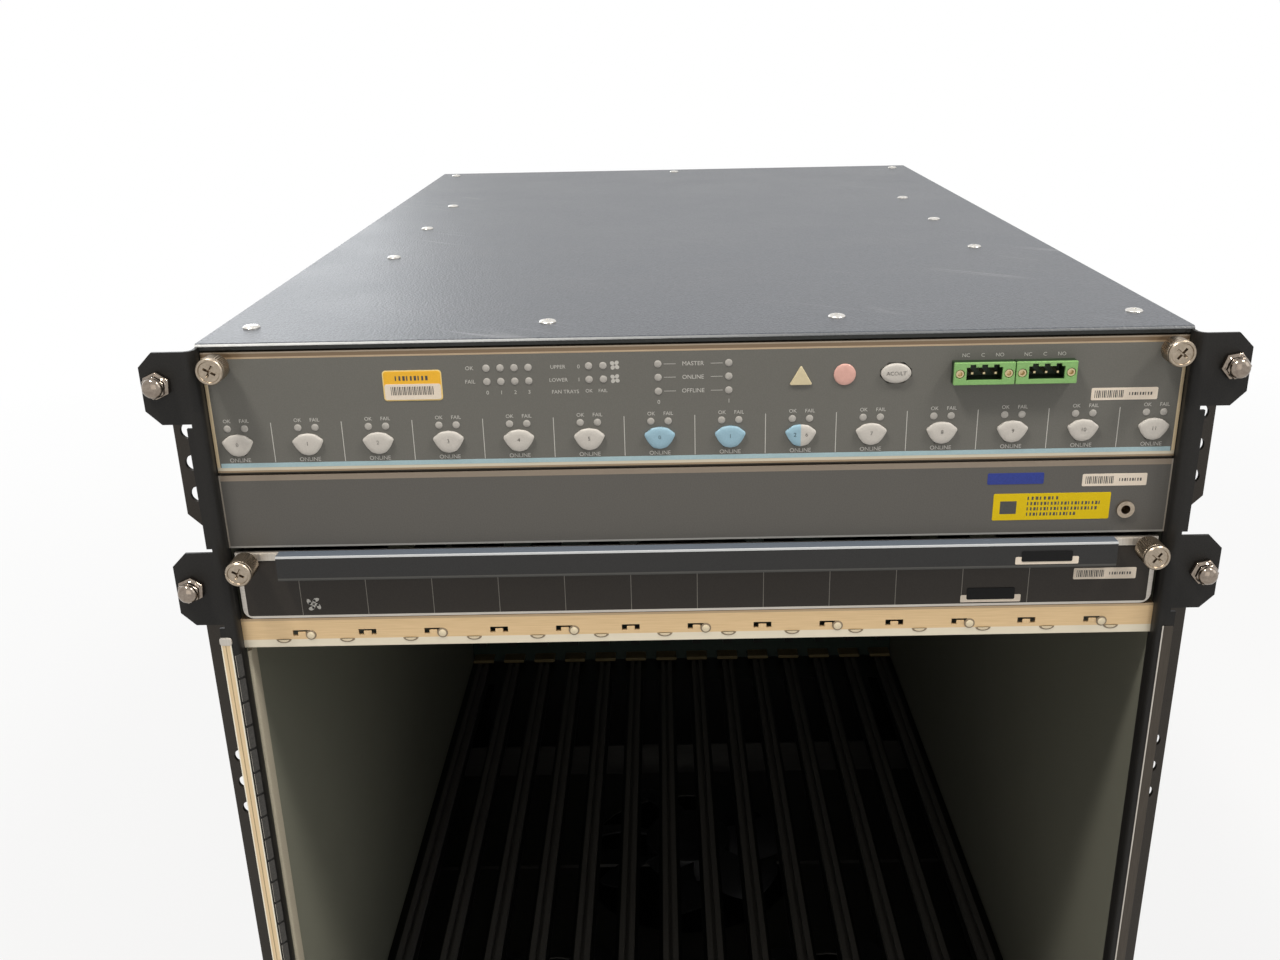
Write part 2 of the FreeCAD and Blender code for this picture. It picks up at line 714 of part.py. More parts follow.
def button(name, cap, left, right, low, high):
    """Push button whose flange holds it behind the panel."""
    body = new_body(name)
    add(body, "XZ", f"{FRONT} - button_proud", PANEL_BACK, cap)
    flange = rectangle(f"{left} - button_flange_margin", f"{right} + button_flange_margin",
                       f"{low} - button_flange_margin", f"{high} + button_flange_margin")
    add(body, "XZ", PANEL_BACK, f"{PANEL_BACK} + button_flange", flange)


def buttons():
    for card in range(SIZES["card_count"]):
        middle = f"(({card} - (card_count - 1) / 2) * {BUTTON_PITCH})"
        button(f"slot_button_{card + 1}", shield(middle, "0"),
               f"{middle} - button_half", f"{middle} + button_half",
               f"{BUTTON_HEIGHT} - button_toe_drop", f"{BUTTON_HEIGHT} + button_corner + button_crown")
    button("lamp_test_button", oval("0"),
           "oval_place - oval_length / 2", "oval_place + oval_length / 2",
           f"{OVAL_HEIGHT} - oval_height / 2", f"{OVAL_HEIGHT} + oval_height / 2")


def alarm_lamps():
    """Round and three-cornered lamp lenses that stand on the panel."""
    height = "chassis_height - lamp_drop"
    apex_up = FORWARD.multiply(FreeCAD.Rotation(FreeCAD.Vector(0, 0, 1), 90))
    round_place = ("round_lamp_place", FRONT, height)
    round_lens = prism(LENS_SIDES, "round_lamp_radius", "lamp_height", round_place, FORWARD)
    caution_place = ("caution_lamp_place", FRONT, f"{height} - caution_lamp_radius / 4")
    caution_lens = prism(CAUTION_LENS_SIDES, "caution_lamp_radius", "lamp_height", caution_place, apex_up)
    group("alarm_lamps", [round_lens, caution_lens])


def relay_sockets():
    """Two three-way plug-in headers, soldered to the board and open to the front."""
    sockets = []
    for number in range(SOCKET_COUNT):
        place = f"({SOCKET_PLACE} + {number} * socket_pitch)"
        shell = block(f"{place} - socket_width / 2", f"{place} + socket_width / 2",
                      f"{FRONT} - socket_proud", BOARD_FRONT,
                      f"{SOCKET_HEIGHT} - socket_height / 2", f"{SOCKET_HEIGHT} + socket_height / 2")
        hollow = block(f"{place} - socket_hollow_width / 2", f"{place} + socket_hollow_width / 2",
                       f"{FRONT} - socket_proud", f"{FRONT} - socket_proud + socket_hollow_depth",
                       f"{SOCKET_HEIGHT} - socket_hollow_height / 2",
                       f"{SOCKET_HEIGHT} + socket_hollow_height / 2")
        sockets.append(joined("Cut", shell, hollow))
    group("relay_sockets", sockets)


def thumbscrews(label, height, length):
    """Pair of captive screws with a knurled head on a slimmer neck."""
    screws = []
    for side in SIDES.values():
        across = f"{side} * {THUMB_PLACE}"
        neck = prism(THUMB_NECK_SIDES, "thumb_neck_radius", "thumb_neck", (across, FRONT, height), FORWARD)
        head = prism(THUMB_SIDES, "thumb_radius", length, (across, f"{FRONT} - thumb_neck", height), FORWARD)
        screws.append(joined("Fuse", neck, head))
    group(label, screws)


def ground_panel():
    """Plain folded panel below the display, with the jack for a wrist strap."""
    body = new_body("ground_panel")
    inside = f"{FRONT} + wall"
    end = f"{FRONT} + panel_return"
    profile = outline((FRONT, GROUND_LOW), (end, GROUND_LOW), (end, f"{GROUND_LOW} + wall"),
                      (inside, f"{GROUND_LOW} + wall"), (inside, f"{GROUND_TOP} - wall"),
                      (end, f"{GROUND_TOP} - wall"), (end, GROUND_TOP), (FRONT, GROUND_TOP))
    add(body, "YZ", f"-{INNER}", INNER, profile)
    cut(body, "XZ", FRONT, inside, circle(JACK_PLACE, JACK_HEIGHT, "jack_radius + fit"))

    ring = rod("jack_flange_radius", "jack_flange", (JACK_PLACE, FRONT, JACK_HEIGHT))
    tube_place = (JACK_PLACE, f"{FRONT} + jack_length", JACK_HEIGHT)
    tube = prism(JACK_SIDES, "jack_radius", "jack_length", tube_place, FORWARD)
    bore_end = f"{FRONT} - jack_flange + jack_bore_depth"
    bore = rod("jack_bore", "jack_bore_depth", (JACK_PLACE, bore_end, JACK_HEIGHT))
    jack = joined("Cut", joined("Fuse", ring, tube), bore)
    jack.Label = "ground_jack"
    parts.append(jack)


def fan_tray(name, low):
    """Pull-out tray: a front with a finger lip, a pan with three fan openings, and the fans' rotors."""
    top = f"({low} + tray_height)"
    front = new_body(f"{name}_tray_front")
    add(front, "XZ", FRONT, PANEL_BACK, rectangle(f"-{TRAY_HALF}", TRAY_HALF, low, top))
    soften(front, "tray_corner", runs_through("y", z=low))
    lip_front = f"({FRONT} - pull_proud)"
    lip = outline((lip_front, f"{top} - pull_drop"), (f"{lip_front} + wall", f"{top} - pull_drop"),
                  (f"{lip_front} + wall", f"{top} - wall"), (FRONT, f"{top} - wall"),
                  (FRONT, top), (lip_front, top))
    add(front, "YZ", f"-{PULL_HALF}", PULL_HALF, lip)

    pan = new_body(f"{name}_fan_tray")
    floor = f"({low} + wall)"
    rim = f"{top} - panel_thickness"
    back = f"({FRONT} + tray_depth)"
    wall_in = f"({TRAY_HALF} - wall)"
    profile = outline((f"-{TRAY_HALF}", low), (TRAY_HALF, low), (TRAY_HALF, rim), (wall_in, rim),
                      (wall_in, floor), (f"-{wall_in}", floor), (f"-{wall_in}", rim), (f"-{TRAY_HALF}", rim))
    add(pan, "XZ", PANEL_BACK, back, profile)
    add(pan, "XZ", f"{back} - wall", back, rectangle(f"-{wall_in}", wall_in, floor, rim))
    middle = f"(({PANEL_BACK} + {back}) / 2)"
    rows = (f"({middle} - {FAN_PITCH} / 2)", f"({middle} + {FAN_PITCH} / 2)")
    places = [(f"(-{FAN_PITCH} / 2)", rows[0]), (f"({FAN_PITCH} / 2)", rows[0]), ("0", rows[1])]
    for x, y in places:
        prism_feature(pan, "Subtractive", FAN_PORT_SIDES, FAN_RADIUS, "wall", "XY", (x, y, low))
    bars = [rectangle(f"-{wall_in}", wall_in, f"{y} - fan_bar_width / 2", f"{y} + fan_bar_width / 2")
            for y in rows]
    add(pan, "XY", floor, f"{floor} + fan_bar_height", *bars)

    for number, (x, y) in enumerate(places, start=1):
        fan_rotor(f"{name}_fan_rotor_{number}", (x, y, f"{floor} + fan_bar_height + fit"))


def fan_rotor(name, place):
    """Motor hub with pitched blades, which turns on the bar below it."""
    body = new_body(name)
    prism_feature(body, "Additive", FAN_HUB_SIDES, "fan_hub_radius", "fan_height", "XY", ("0", "0", "0"))
    edge = "blade_sweep / 2"
    blade = outline((f"-{edge}", "wall"), (f"-{edge} + blade_thickness", "wall"),
                    (edge, "fan_height - wall"), (f"{edge} - blade_thickness", "fan_height - wall"))
    first = add(body, "YZ", "fan_hub_radius / 2", f"{FAN_RADIUS} - fan_tip_gap", blade)
    ring = body.newObject("PartDesign::PolarPattern", "blades")
    ring.Originals = [first]
    ring.Axis = (origin_feature(body, "Z_Axis"), [""])
    ring.Angle = 360
    ring.setExpression("Occurrences", bound("blade_count"))
    body.Tip = ring
    put(body, place)
    document.recompute()


def power_supply(number):
    """Plug-in supply with a face plate, a bail handle and a power inlet."""
    body = new_body(f"power_supply_{number}")
    middle = f"(-{INNER} + ({number} - 1 / 2) * {SUPPLY_PITCH})"
    left = f"({middle} - {SUPPLY_HALF})"
    right = f"({middle} + {SUPPLY_HALF})"
    top = f"({SUPPLY_LOW} + supply_height)"
    face = f"({BACK} + supply_face)"
    add(body, "XZ", f"{BACK} - supply_depth", BACK, rectangle(left, right, SUPPLY_LOW, top))
    plate = rectangle(f"{left} - supply_face_margin", f"{right} + supply_face_margin",
                      f"{SUPPLY_LOW} - supply_face_margin", f"{top} + supply_face_margin")
    add(body, "XZ", BACK, face, plate)
    end = f"({face} + handle_reach)"
    grip = f"({end} - handle_bar)"
    bar_left = f"{middle} - handle_half"
    bar_right = f"{middle} + handle_half"
    inner_left = f"{bar_left} + handle_bar"
    inner_right = f"{bar_right} - handle_bar"
    bail = outline((bar_left, face), (inner_left, face), (inner_left, grip), (inner_right, grip),
                   (inner_right, face), (bar_right, face), (bar_right, end), (bar_left, end))
    bail_low = f"({SUPPLY_LOW} + handle_rise)"
    add(body, "XY", bail_low, f"{bail_low} + handle_height", bail)
    inlet_low = f"({SUPPLY_LOW} + inlet_rise)"
    cut(body, "XZ", f"{face} - inlet_depth", face,
        rectangle(f"{middle} - inlet_width / 2", f"{middle} + inlet_width / 2",
                  inlet_low, f"{inlet_low} + inlet_height"))


def intake_grille():
    """Slotted front of the base, where the cooling air comes in."""
    body = new_body("intake_grille")
    add(body, "XZ", FRONT, f"{FRONT} + wall", rectangle(f"-{INNER}", INNER, "wall", "runner_height"))
    first = f"(-(card_count - 1) / 2 * {CARD_PITCH})"
    opening = rectangle(f"{first} - intake_width / 2", f"{first} + intake_width / 2",
                        "wall + intake_margin", "runner_height - intake_margin")
    row(body, cut(body, "XZ", FRONT, f"{FRONT} + wall", opening), "X", CARD_PITCH, "card_count")


top_cover()
cover_screws()
for panel_name, panel_side in SIDES.items():
    side_panel(panel_name, panel_side)
    rack_flange(panel_name, panel_side)
ball_studs()
base_pan()
rear_panel()
power_deck()
cage_shelf("cage_roof", ROOF_TOP)
cage_shelf("cage_floor", FLOOR_TOP)
card_guides()
midplane()
display()
buttons()
alarm_lamps()
relay_sockets()
thumbscrews("display_screws", f"({DISPLAY_TOP} - display_thumb_drop)", "display_thumb_length")
ground_panel()
for tray_name, tray_low in (("upper", UPPER_TRAY_LOW), ("lower", LOWER_TRAY_LOW)):
    fan_tray(tray_name, tray_low)
    thumb_height = f"({tray_low} + tray_height - tray_thumb_drop)"
    thumbscrews(f"{tray_name}_tray_screws", thumb_height, "tray_thumb_length")
for supply in range(1, SIZES["supply_count"] + 1):
    power_supply(supply)
intake_grille()

document.recompute()
for item in document.Objects:
    if "Invalid" in item.State or "Error" in item.State:
        raise RuntimeError(f"{item.Label} did not build")
for part in parts:
    if part.Shape.isNull() or not part.Shape.isValid():
        raise RuntimeError(f"{part.Label} has no sound shape")
os.makedirs("parts", exist_ok=True)
for part in parts:
    part.Shape.exportStep(f"parts/{part.Label}.step")
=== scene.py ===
import bpy
import json
import math
from mathutils import Matrix, Vector


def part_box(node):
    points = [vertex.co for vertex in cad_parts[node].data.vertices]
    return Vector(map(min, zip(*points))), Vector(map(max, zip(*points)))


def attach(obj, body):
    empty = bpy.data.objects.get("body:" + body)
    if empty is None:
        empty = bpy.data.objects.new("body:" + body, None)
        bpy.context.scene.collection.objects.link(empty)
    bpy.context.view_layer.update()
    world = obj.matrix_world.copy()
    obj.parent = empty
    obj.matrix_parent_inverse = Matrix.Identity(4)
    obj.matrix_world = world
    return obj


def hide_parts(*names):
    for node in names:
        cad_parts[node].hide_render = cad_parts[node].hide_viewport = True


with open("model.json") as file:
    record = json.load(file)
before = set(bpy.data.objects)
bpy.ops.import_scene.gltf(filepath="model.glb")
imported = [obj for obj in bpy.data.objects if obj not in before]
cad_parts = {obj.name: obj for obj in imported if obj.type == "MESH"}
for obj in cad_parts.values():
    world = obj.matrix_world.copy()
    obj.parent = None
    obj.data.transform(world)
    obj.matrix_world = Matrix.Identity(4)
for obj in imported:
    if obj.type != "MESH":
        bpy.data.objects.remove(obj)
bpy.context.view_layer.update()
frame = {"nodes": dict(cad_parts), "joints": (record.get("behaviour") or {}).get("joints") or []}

# Stage: a pale floor that fades to white, under two small steep lamps at the front left and right, a
# weak front fill and two cool windows, at the right and behind. The camera looks down at the display.
camera_place = (-0.013992, -0.855489, 0.830894)
camera_turn = (1.211732, 0.018444, -0.003022)
bpy.ops.object.camera_add(location=camera_place, rotation=camera_turn)
camera = bpy.context.object
camera.data.lens = 33.897
camera.data.shift_x = -0.01607
camera.data.shift_y = 0.00193
camera.data.clip_start = 0.01
bpy.context.scene.camera = camera
bpy.context.scene.view_settings.view_transform = "Standard"


def add_node(tree, kind, inputs, **settings):
    """Add a shader node whose inputs, by name or number, take a value or another node's output."""
    made = tree.nodes.new(f"ShaderNode{kind}")
    for setting, value in settings.items():
        setattr(made, setting, value)
    for label, value in inputs.items():
        if isinstance(value, bpy.types.NodeSocket):
            tree.links.new(value, made.inputs[label])
        else:
            made.inputs[label].default_value = value
    return made


def math_node(tree, operation, *values):
    """Output of a sum over values and other nodes' outputs."""
    return add_node(tree, "Math", dict(enumerate(values)), operation=operation).outputs[0]


def seen_directly(tree):
    """1 for rays of the camera, of reflections and of glass, which show the white background; else 0."""
    path = add_node(tree, "LightPath", {})
    either = math_node(tree, "MAXIMUM", path.outputs["Is Camera Ray"], path.outputs["Is Glossy Ray"])
    return math_node(tree, "MAXIMUM", either, path.outputs["Is Transmission Ray"])


pure_white = (1, 1, 1, 1)
world = bpy.data.worlds.new("studio")
bpy.context.scene.world = world
world.use_nodes = True
sky = world.node_tree
room = sky.nodes["Background"]
room.inputs["Color"].default_value = (1.0, 0.97, 0.93, 1)
room.inputs["Strength"].default_value = 0.28
white = add_node(sky, "Background", {"Color": pure_white, "Strength": 1.0})
sky_mix = add_node(sky, "MixShader", {0: seen_directly(sky), 1: room.outputs[0], 2: white.outputs[0]})
sky.links.new(sky_mix.outputs[0], sky.nodes["World Output"].inputs["Surface"])

bpy.ops.mesh.primitive_plane_add(size=90, location=(0, 30, 0))
floor = bpy.context.object
floor.name = "floor"
bpy.ops.object.transform_apply(location=True)
floor_finish = bpy.data.materials.new("pale_floor")
floor_finish.use_nodes = True
tree = floor_finish.node_tree
tree.nodes.remove(tree.nodes["Principled BSDF"])
matt = add_node(tree, "BsdfDiffuse", {"Color": (0.82, 0.81, 0.8, 1)})
glow = add_node(tree, "Emission", {"Color": pure_white, "Strength": 1.0})
ground = add_node(tree, "TexCoord", {})
away = add_node(tree, "VectorMath", {0: ground.outputs["Object"]}, operation="LENGTH")
fade_range = {"From Min": 0.5, "From Max": 2.6, "To Min": 0.8, "To Max": 1.0}
fade = add_node(tree, "MapRange", {"Value": away.outputs["Value"], **fade_range})
lift = math_node(tree, "MULTIPLY", seen_directly(tree), fade.outputs["Result"])
floor_mix = add_node(tree, "MixShader", {0: lift, 1: matt.outputs[0], 2: glow.outputs[0]})
tree.links.new(floor_mix.outputs[0], tree.nodes["Material Output"].inputs["Surface"])
floor.data.materials.append(floor_finish)

warm_light = (1.0, 0.96, 0.9)
day_light = (0.93, 0.97, 1.0)
lamp_aim = Vector((0, 0, 0.5))
lamps = (("left_key", (-0.6, -0.757, 2.1), 0.25, 21, warm_light),
         ("right_key", (1.0, -0.757, 2.1), 0.35, 19, warm_light),
         ("front_fill", (0.0, -2.6, 1.1), 1.6, 6, warm_light),
         ("right_window", (1.9, -1.0, 1.4), 1.2, 6, day_light),
         ("rear_window", (-1.35, 1.9, 1.2), 1.6, 15, day_light))
for name, place, width, power, tint in lamps:
    bpy.ops.object.light_add(type="AREA", location=place)
    lamp = bpy.context.object
    lamp.name = name
    lamp.data.size = width
    lamp.data.energy = power
    lamp.data.color = tint
    lamp.visible_camera = False
    lamp.rotation_euler = (lamp_aim - Vector(place)).to_track_quat("-Z", "Y").to_euler()

# Top cover: one steel sheet folded down at the front and sides, sprayed with a slate grey textured
# paint. Fine scratches from handling show lighter. The top of the folded front edge carries a painted
# highlight, stronger to the left, and the face of the fold below it is painted near black as shade.
def new_group(name, inputs, outputs):
    """Shader group with a place, number inputs and number outputs."""
    group = bpy.data.node_groups.new(name, "ShaderNodeTree")
    group.interface.new_socket("Place", in_out="INPUT", socket_type="NodeSocketVector")
    for label in inputs:
        group.interface.new_socket(label, in_out="INPUT", socket_type="NodeSocketFloat")
    for label in outputs:
        group.interface.new_socket(label, in_out="OUTPUT", socket_type="NodeSocketFloat")
    return group, group.nodes.new("NodeGroupInput"), group.nodes.new("NodeGroupOutput")


coat_grain, entry, leave = new_group("coat_grain", ("Grain Scale", "Cloud Scale"), ("Grain", "Cloud"))
for label in ("Grain", "Cloud"):
    scale = entry.outputs[f"{label} Scale"]
    pattern = {"Vector": entry.outputs["Place"], "Scale": scale, "Detail": 3}
    noise = add_node(coat_grain, "TexNoise", pattern).outputs["Fac"]
    spread = add_node(coat_grain, "MapRange", {"Value": noise, "From Min": 0.3, "From Max": 0.7})
    coat_grain.links.new(spread.outputs["Result"], leave.inputs[label])

scratches, entry, leave = new_group("scratches", ("Turn",), ("Lines",))
turning = {"Vector": entry.outputs["Place"], "Angle": entry.outputs["Turn"]}
across = add_node(scratches, "VectorRotate", turning, rotation_type="Z_AXIS")
drawn_out = add_node(scratches, "Mapping", {"Vector": across.outputs["Vector"], "Scale": (2, 45, 45)})
threads = add_node(scratches, "TexNoise", {"Vector": drawn_out.outputs["Vector"], "Scale": 1.5, "Detail": 0})
level = math_node(scratches, "ABSOLUTE", math_node(scratches, "SUBTRACT", threads.outputs["Fac"], 0.5))
thin = add_node(scratches, "MapRange", {"Value": level, "From Min": 0.012, "From Max": 0.004})
patches = add_node(scratches, "TexNoise", {"Vector": entry.outputs["Place"], "Scale": 9})
rare = add_node(scratches, "MapRange", {"Value": patches.outputs["Fac"], "From Min": 0.58, "From Max": 0.7})
both = math_node(scratches, "MULTIPLY", thin.outputs["Result"], rare.outputs["Result"])
scratches.links.new(both, leave.inputs["Lines"])


def coated(name, colour, worn, rough, grain=1500, depth=0.00002, gloss=0.5, metal=0.0, cloud=16,
           stretch=(1, 1, 1)):
    """Finish whose grain and clouding shift its colour towards a worn tone, its sheen and its surface."""
    material = bpy.data.materials.new(name)
    material.use_nodes = True
    tree = material.node_tree
    place = add_node(tree, "TexCoord", {})
    mapping = add_node(tree, "Mapping", {"Vector": place.outputs["Object"], "Scale": stretch})
    grains = add_node(tree, "Group", {"Place": mapping.outputs["Vector"], "Grain Scale": grain,
                                      "Cloud Scale": cloud}, node_tree=coat_grain)
    cloud_share = math_node(tree, "MULTIPLY", grains.outputs["Cloud"], 0.25)
    wear = math_node(tree, "MULTIPLY_ADD", grains.outputs["Grain"], 0.75, cloud_share)
    tone = add_node(tree, "Mix", {0: wear, 6: (*colour, 1), 7: (*worn, 1)}, data_type="RGBA")
    sheen = add_node(tree, "MapRange", {"Value": grains.outputs["Cloud"], "To Min": rough[0],
                                        "To Max": rough[1]})
    bump = add_node(tree, "Bump", {"Height": grains.outputs["Grain"], "Strength": 0.7, "Distance": depth})
    shader = tree.nodes["Principled BSDF"]
    shader.inputs["Metallic"].default_value = metal
    shader.inputs["Specular IOR Level"].default_value = gloss
    tree.links.new(tone.outputs[2], shader.inputs["Base Color"])
    tree.links.new(sheen.outputs["Result"], shader.inputs["Roughness"])
    tree.links.new(bump.outputs["Normal"], shader.inputs["Normal"])
    return material


def overpaint(material, mask, colour):
    """Lay a second colour over a finish where a mask says so."""
    tree = material.node_tree
    base = tree.nodes["Principled BSDF"].inputs["Base Color"]
    over = add_node(tree, "Mix", {0: mask, 6: base.links[0].from_socket, 7: (*colour, 1)}, data_type="RGBA")
    tree.links.new(over.outputs[2], base)


def along(material, axis):
    """Place along one axis of the object."""
    place = add_node(material.node_tree, "TexCoord", {})
    return add_node(material.node_tree, "SeparateXYZ", {0: place.outputs["Object"]}).outputs[axis]


def ramp_along(material, axis, start, end):
    """Mask that rises from 0 to 1 between two places along an axis of the object."""
    rise = {"Value": along(material, axis), "From Min": start, "From Max": end}
    return add_node(material.node_tree, "MapRange", rise).outputs["Result"]


def within(material, **spans):
    """Mask that is 1 where the object's place lies between two values along one axis or two."""
    tree = material.node_tree
    masks = [math_node(tree, "COMPARE", along(material, axis), (low + high) / 2, (high - low) / 2)
             for axis, (low, high) in spans.items()]
    return masks[0] if len(masks) == 1 else math_node(tree, "MULTIPLY", *masks)


def band(material, colour, **spans):
    """Lay a second colour over a finish between two values along one axis or two."""
    overpaint(material, within(material, **spans), colour)


def scratch(material, turn, strength, colour):
    """Lay thin handling scratches over a finish, which run in one direction."""
    tree = material.node_tree
    place = add_node(tree, "TexCoord", {})
    lines = add_node(tree, "Group", {"Place": place.outputs["Object"], "Turn": turn}, node_tree=scratches)
    overpaint(material, math_node(tree, "MULTIPLY", lines.outputs["Lines"], strength), colour)


def coat(mesh, material):
    """Give a mesh one finish."""
    mesh.materials.clear()
    mesh.materials.append(material)


def clad(material, *nodes):
    """Give CAD nodes a finish."""
    for node in nodes:
        coat(frame["nodes"][node].data, material)


cover_paint = coated("cover_paint", (0.042, 0.047, 0.058), (0.104, 0.113, 0.13), (0.33, 0.38),
                     850, 0.00018, gloss=0.27)
scratch(cover_paint, 0.6, 0.28, (0.5, 0.51, 0.52))
cover_low, cover_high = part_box("top_cover")
front_fold = (cover_low.y - 0.001, cover_low.y + 0.0006)
edge_foot = cover_high.z - 0.0013
# Painted highlight: the top of the front fold is lighter, and more so to the left.
fold_highlight = within(cover_paint, Y=front_fold, Z=(edge_foot, cover_high.z + 0.001))
overpaint(cover_paint, fold_highlight, (0.14, 0.147, 0.157))
to_the_left = ramp_along(cover_paint, "X", 0.06, -0.2)
highlight_left = math_node(cover_paint.node_tree, "MULTIPLY", fold_highlight, to_the_left)
overpaint(cover_paint, highlight_left, (0.6, 0.61, 0.61))
# Painted shade: the face of the front fold below its top is painted near black.
band(cover_paint, (0.016, 0.017, 0.016), Y=front_fold, Z=(cover_low.z, edge_foot))
clad(cover_paint, "top_cover")

# Cover screws: zinc-plated pan heads with a cross recess, which hold the cover down to the side
# panels, the front and the rear.
def alone(piece):
    """Select one piece and make it the active one."""
    bpy.ops.object.select_all(action="DESELECT")
    piece.select_set(True)
    bpy.context.view_layer.objects.active = piece


def settle(name):
    """Name the object added last and put its place, turn and scale into its mesh."""
    piece = bpy.context.object
    piece.name = name
    bpy.ops.object.transform_apply(location=True, rotation=True, scale=True)
    return piece


def pick(piece, kind, wanted):
    """Select, in edit mode, the faces or edges that a test on their points wants."""
    alone(piece)
    bpy.ops.object.mode_set(mode="EDIT")
    bpy.ops.mesh.select_mode(type=kind)
    bpy.ops.mesh.select_all(action="DESELECT")
    bpy.ops.object.mode_set(mode="OBJECT")
    points = piece.data.vertices
    for item in (piece.data.polygons if kind == "FACE" else piece.data.edges):
        item.select = wanted([points[index].co for index in item.vertices])
    bpy.ops.object.mode_set(mode="EDIT")


def ease(piece, wanted, offset, segments):
    """Bevel the edges that a test on their ends wants."""
    pick(piece, "EDGE", wanted)
    bpy.ops.mesh.bevel(offset=offset, segments=segments)
    bpy.ops.object.mode_set(mode="OBJECT")


def raised(rise, *shrink, centre=(0, 0, 0)):
    """Extrude what is selected by a step and scale it about a centre."""
    bpy.ops.mesh.extrude_region_move(TRANSFORM_OT_translate={"value": rise})
    bpy.ops.transform.resize(value=shrink, center_override=centre)


def close_up():
    """Turn all faces of the edited mesh outwards and leave edit mode."""
    bpy.ops.mesh.select_all(action="SELECT")
    bpy.ops.mesh.normals_make_consistent(inside=False)
    bpy.ops.object.mode_set(mode="OBJECT")


def turned(name, corners, profile):
    """Turned piece along Z: a disc is extruded and scaled through each radius and height of its profile."""
    radius, height = profile[0]
    bpy.ops.mesh.primitive_circle_add(vertices=corners, radius=radius, fill_type="NGON",
                                      location=(0, 0, height))
    piece = settle(name)
    bpy.ops.object.mode_set(mode="EDIT")
    bpy.ops.mesh.select_all(action="SELECT")
    for next_radius, next_height in profile[1:]:
        share = next_radius / radius
        raised((0, 0, next_height - height), share, share, 1, centre=(0, 0, next_height))
        radius, height = next_radius, next_height
    close_up()
    return piece


def cut_out(piece, tools):
    """Cut tools out of a piece and remove them."""
    for tool in tools:
        cut = piece.modifiers.new("cut", "BOOLEAN")
        cut.operation = "DIFFERENCE"
        cut.object = tool
        bpy.context.view_layer.objects.active = piece
        bpy.ops.object.modifier_apply(modifier=cut.name)
        bpy.data.objects.remove(tool)


def sink_cross(head, top, arm, width, depth):
    """Cut a cross recess with tapering arms into the top of a screw head."""
    for length, breadth in ((arm, width), (width, arm)):
        bpy.ops.mesh.primitive_cube_add(size=1, location=(0, 0, top), scale=(length, breadth, 2 * depth))
        tool = settle("cross_arm")
        pick(tool, "FACE", lambda corners: max(point.z for point in corners) < top)
        bpy.ops.transform.resize(value=(0.45, 0.45, 1), center_override=(0, 0, top - depth))
        bpy.ops.object.mode_set(mode="OBJECT")
        cut_out(head, [tool])


def at(x, y, z):
    """Shift to a place."""
    return Matrix.Translation((x, y, z))


def spin(angle, axis):
    """Turn about an axis through the origin."""
    return Matrix.Rotation(angle, 4, axis)


def copy_to(pattern, place):
    """Copy of a pattern piece with its own mesh, set in its place."""
    copy = pattern.copy()
    copy.data = pattern.data.copy()
    copy.data.transform(place)
    bpy.context.scene.collection.objects.link(copy)
    return copy


def repeat(pattern, places):
    """Copies of a pattern piece at each place, in the pattern's stead."""
    copies = [copy_to(pattern, place) for place in places]
    bpy.data.objects.remove(pattern)
    return copies


def join(name, members):
    """Join pieces to one that carries a name."""
    bpy.ops.object.select_all(action="DESELECT")
    for member in members:
        member.select_set(True)
    bpy.context.view_layer.objects.active = members[0]
    if len(members) > 1:
        bpy.ops.object.join()
    members[0].name = name
    return members[0]


def smooth(piece, angle=0.6):
    """Shade a piece smoothly up to an angle between its faces."""
    alone(piece)
    bpy.ops.object.shade_smooth_by_angle(angle=angle)


def fix(piece, material, slot, *nodes, body="chassis"):
    """Finish a piece and let it ride on a body, in place of CAD nodes if any are named."""
    coat(piece.data, material)
    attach(piece, body)
    if nodes:
        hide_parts(*nodes)


sides = (-1, 1)
screw_zinc = coated("screw_zinc", (0.74, 0.72, 0.68), (0.6, 0.58, 0.54), (0.2, 0.34), 900,
                    metal=0.9, cloud=90)
head_height = 0.0014
pan_head = turned("pan_head", 28, ((0.0040, 0.0), (0.0040, 0.0005), (0.0036, 0.0010), (0.0028, 0.0013),
                                   (0.0012, head_height)))
sink_cross(pan_head, head_height, 0.0042, 0.0009, 0.0010)
smooth(pan_head)
front_row, rear_row = -0.306, 0.314
screw_places = [(0, rear_row)]
for side in sides:
    screw_places += [(side * 0.2045, front_row), (side * 0.067, front_row), (side * 0.206, rear_row)]
    screw_places += [(side * 0.175, depth) for depth in (-0.126, -0.013, 0.100)]
heads = repeat(pan_head, [at(x, y, cover_high.z) @ spin(number * 0.7, "Z")
                          for number, (x, y) in enumerate(screw_places)])
fix(join("cover_screw_heads", heads), screw_zinc, "nickel", "cover_screws")

# Side panels and rack flanges: folded steel in black satin paint. The panels' front edges are bent
# outwards and carry the ears, and the drilled angles behind them bolt to the posts of a rack.
def satin_black(name):
    """Black satin paint with light scratches."""
    paint = coated(name, (0.012, 0.0114, 0.0106), (0.018, 0.017, 0.0157), (0.41, 0.46), 1300, 0.00003,
                   gloss=0.2)
    scratch(paint, 1.2, 0.2, (0.1, 0.095, 0.09))
    return paint


black_paint = satin_black("black_paint")
clad(black_paint, "base_pan", "rear_panel")
behind_bend = (-0.334, 0.4)
# The inner faces of the walls are painted warm grey, partly their own tone and partly painted light: the left
# wall is lighter than the right.
for side, name, wall_tone_and_light in ((-1, "left_side_panel", (0.205, 0.206, 0.163)),
                              (1, "right_side_panel", (0.165, 0.165, 0.132))):
    side_paint = satin_black(f"{name}_paint")
    inner_wall = sorted((side * 0.2188, side * 0.2194))
    band(side_paint, wall_tone_and_light, Y=behind_bend, X=inner_wall)
    clad(side_paint, name)
rack_paint = coated("rack_paint", (0.026, 0.021, 0.016), (0.036, 0.03, 0.024), (0.45, 0.6), 1000,
                    0.00003, gloss=0.3)
clad(rack_paint, "left_rack_flange", "right_rack_flange")

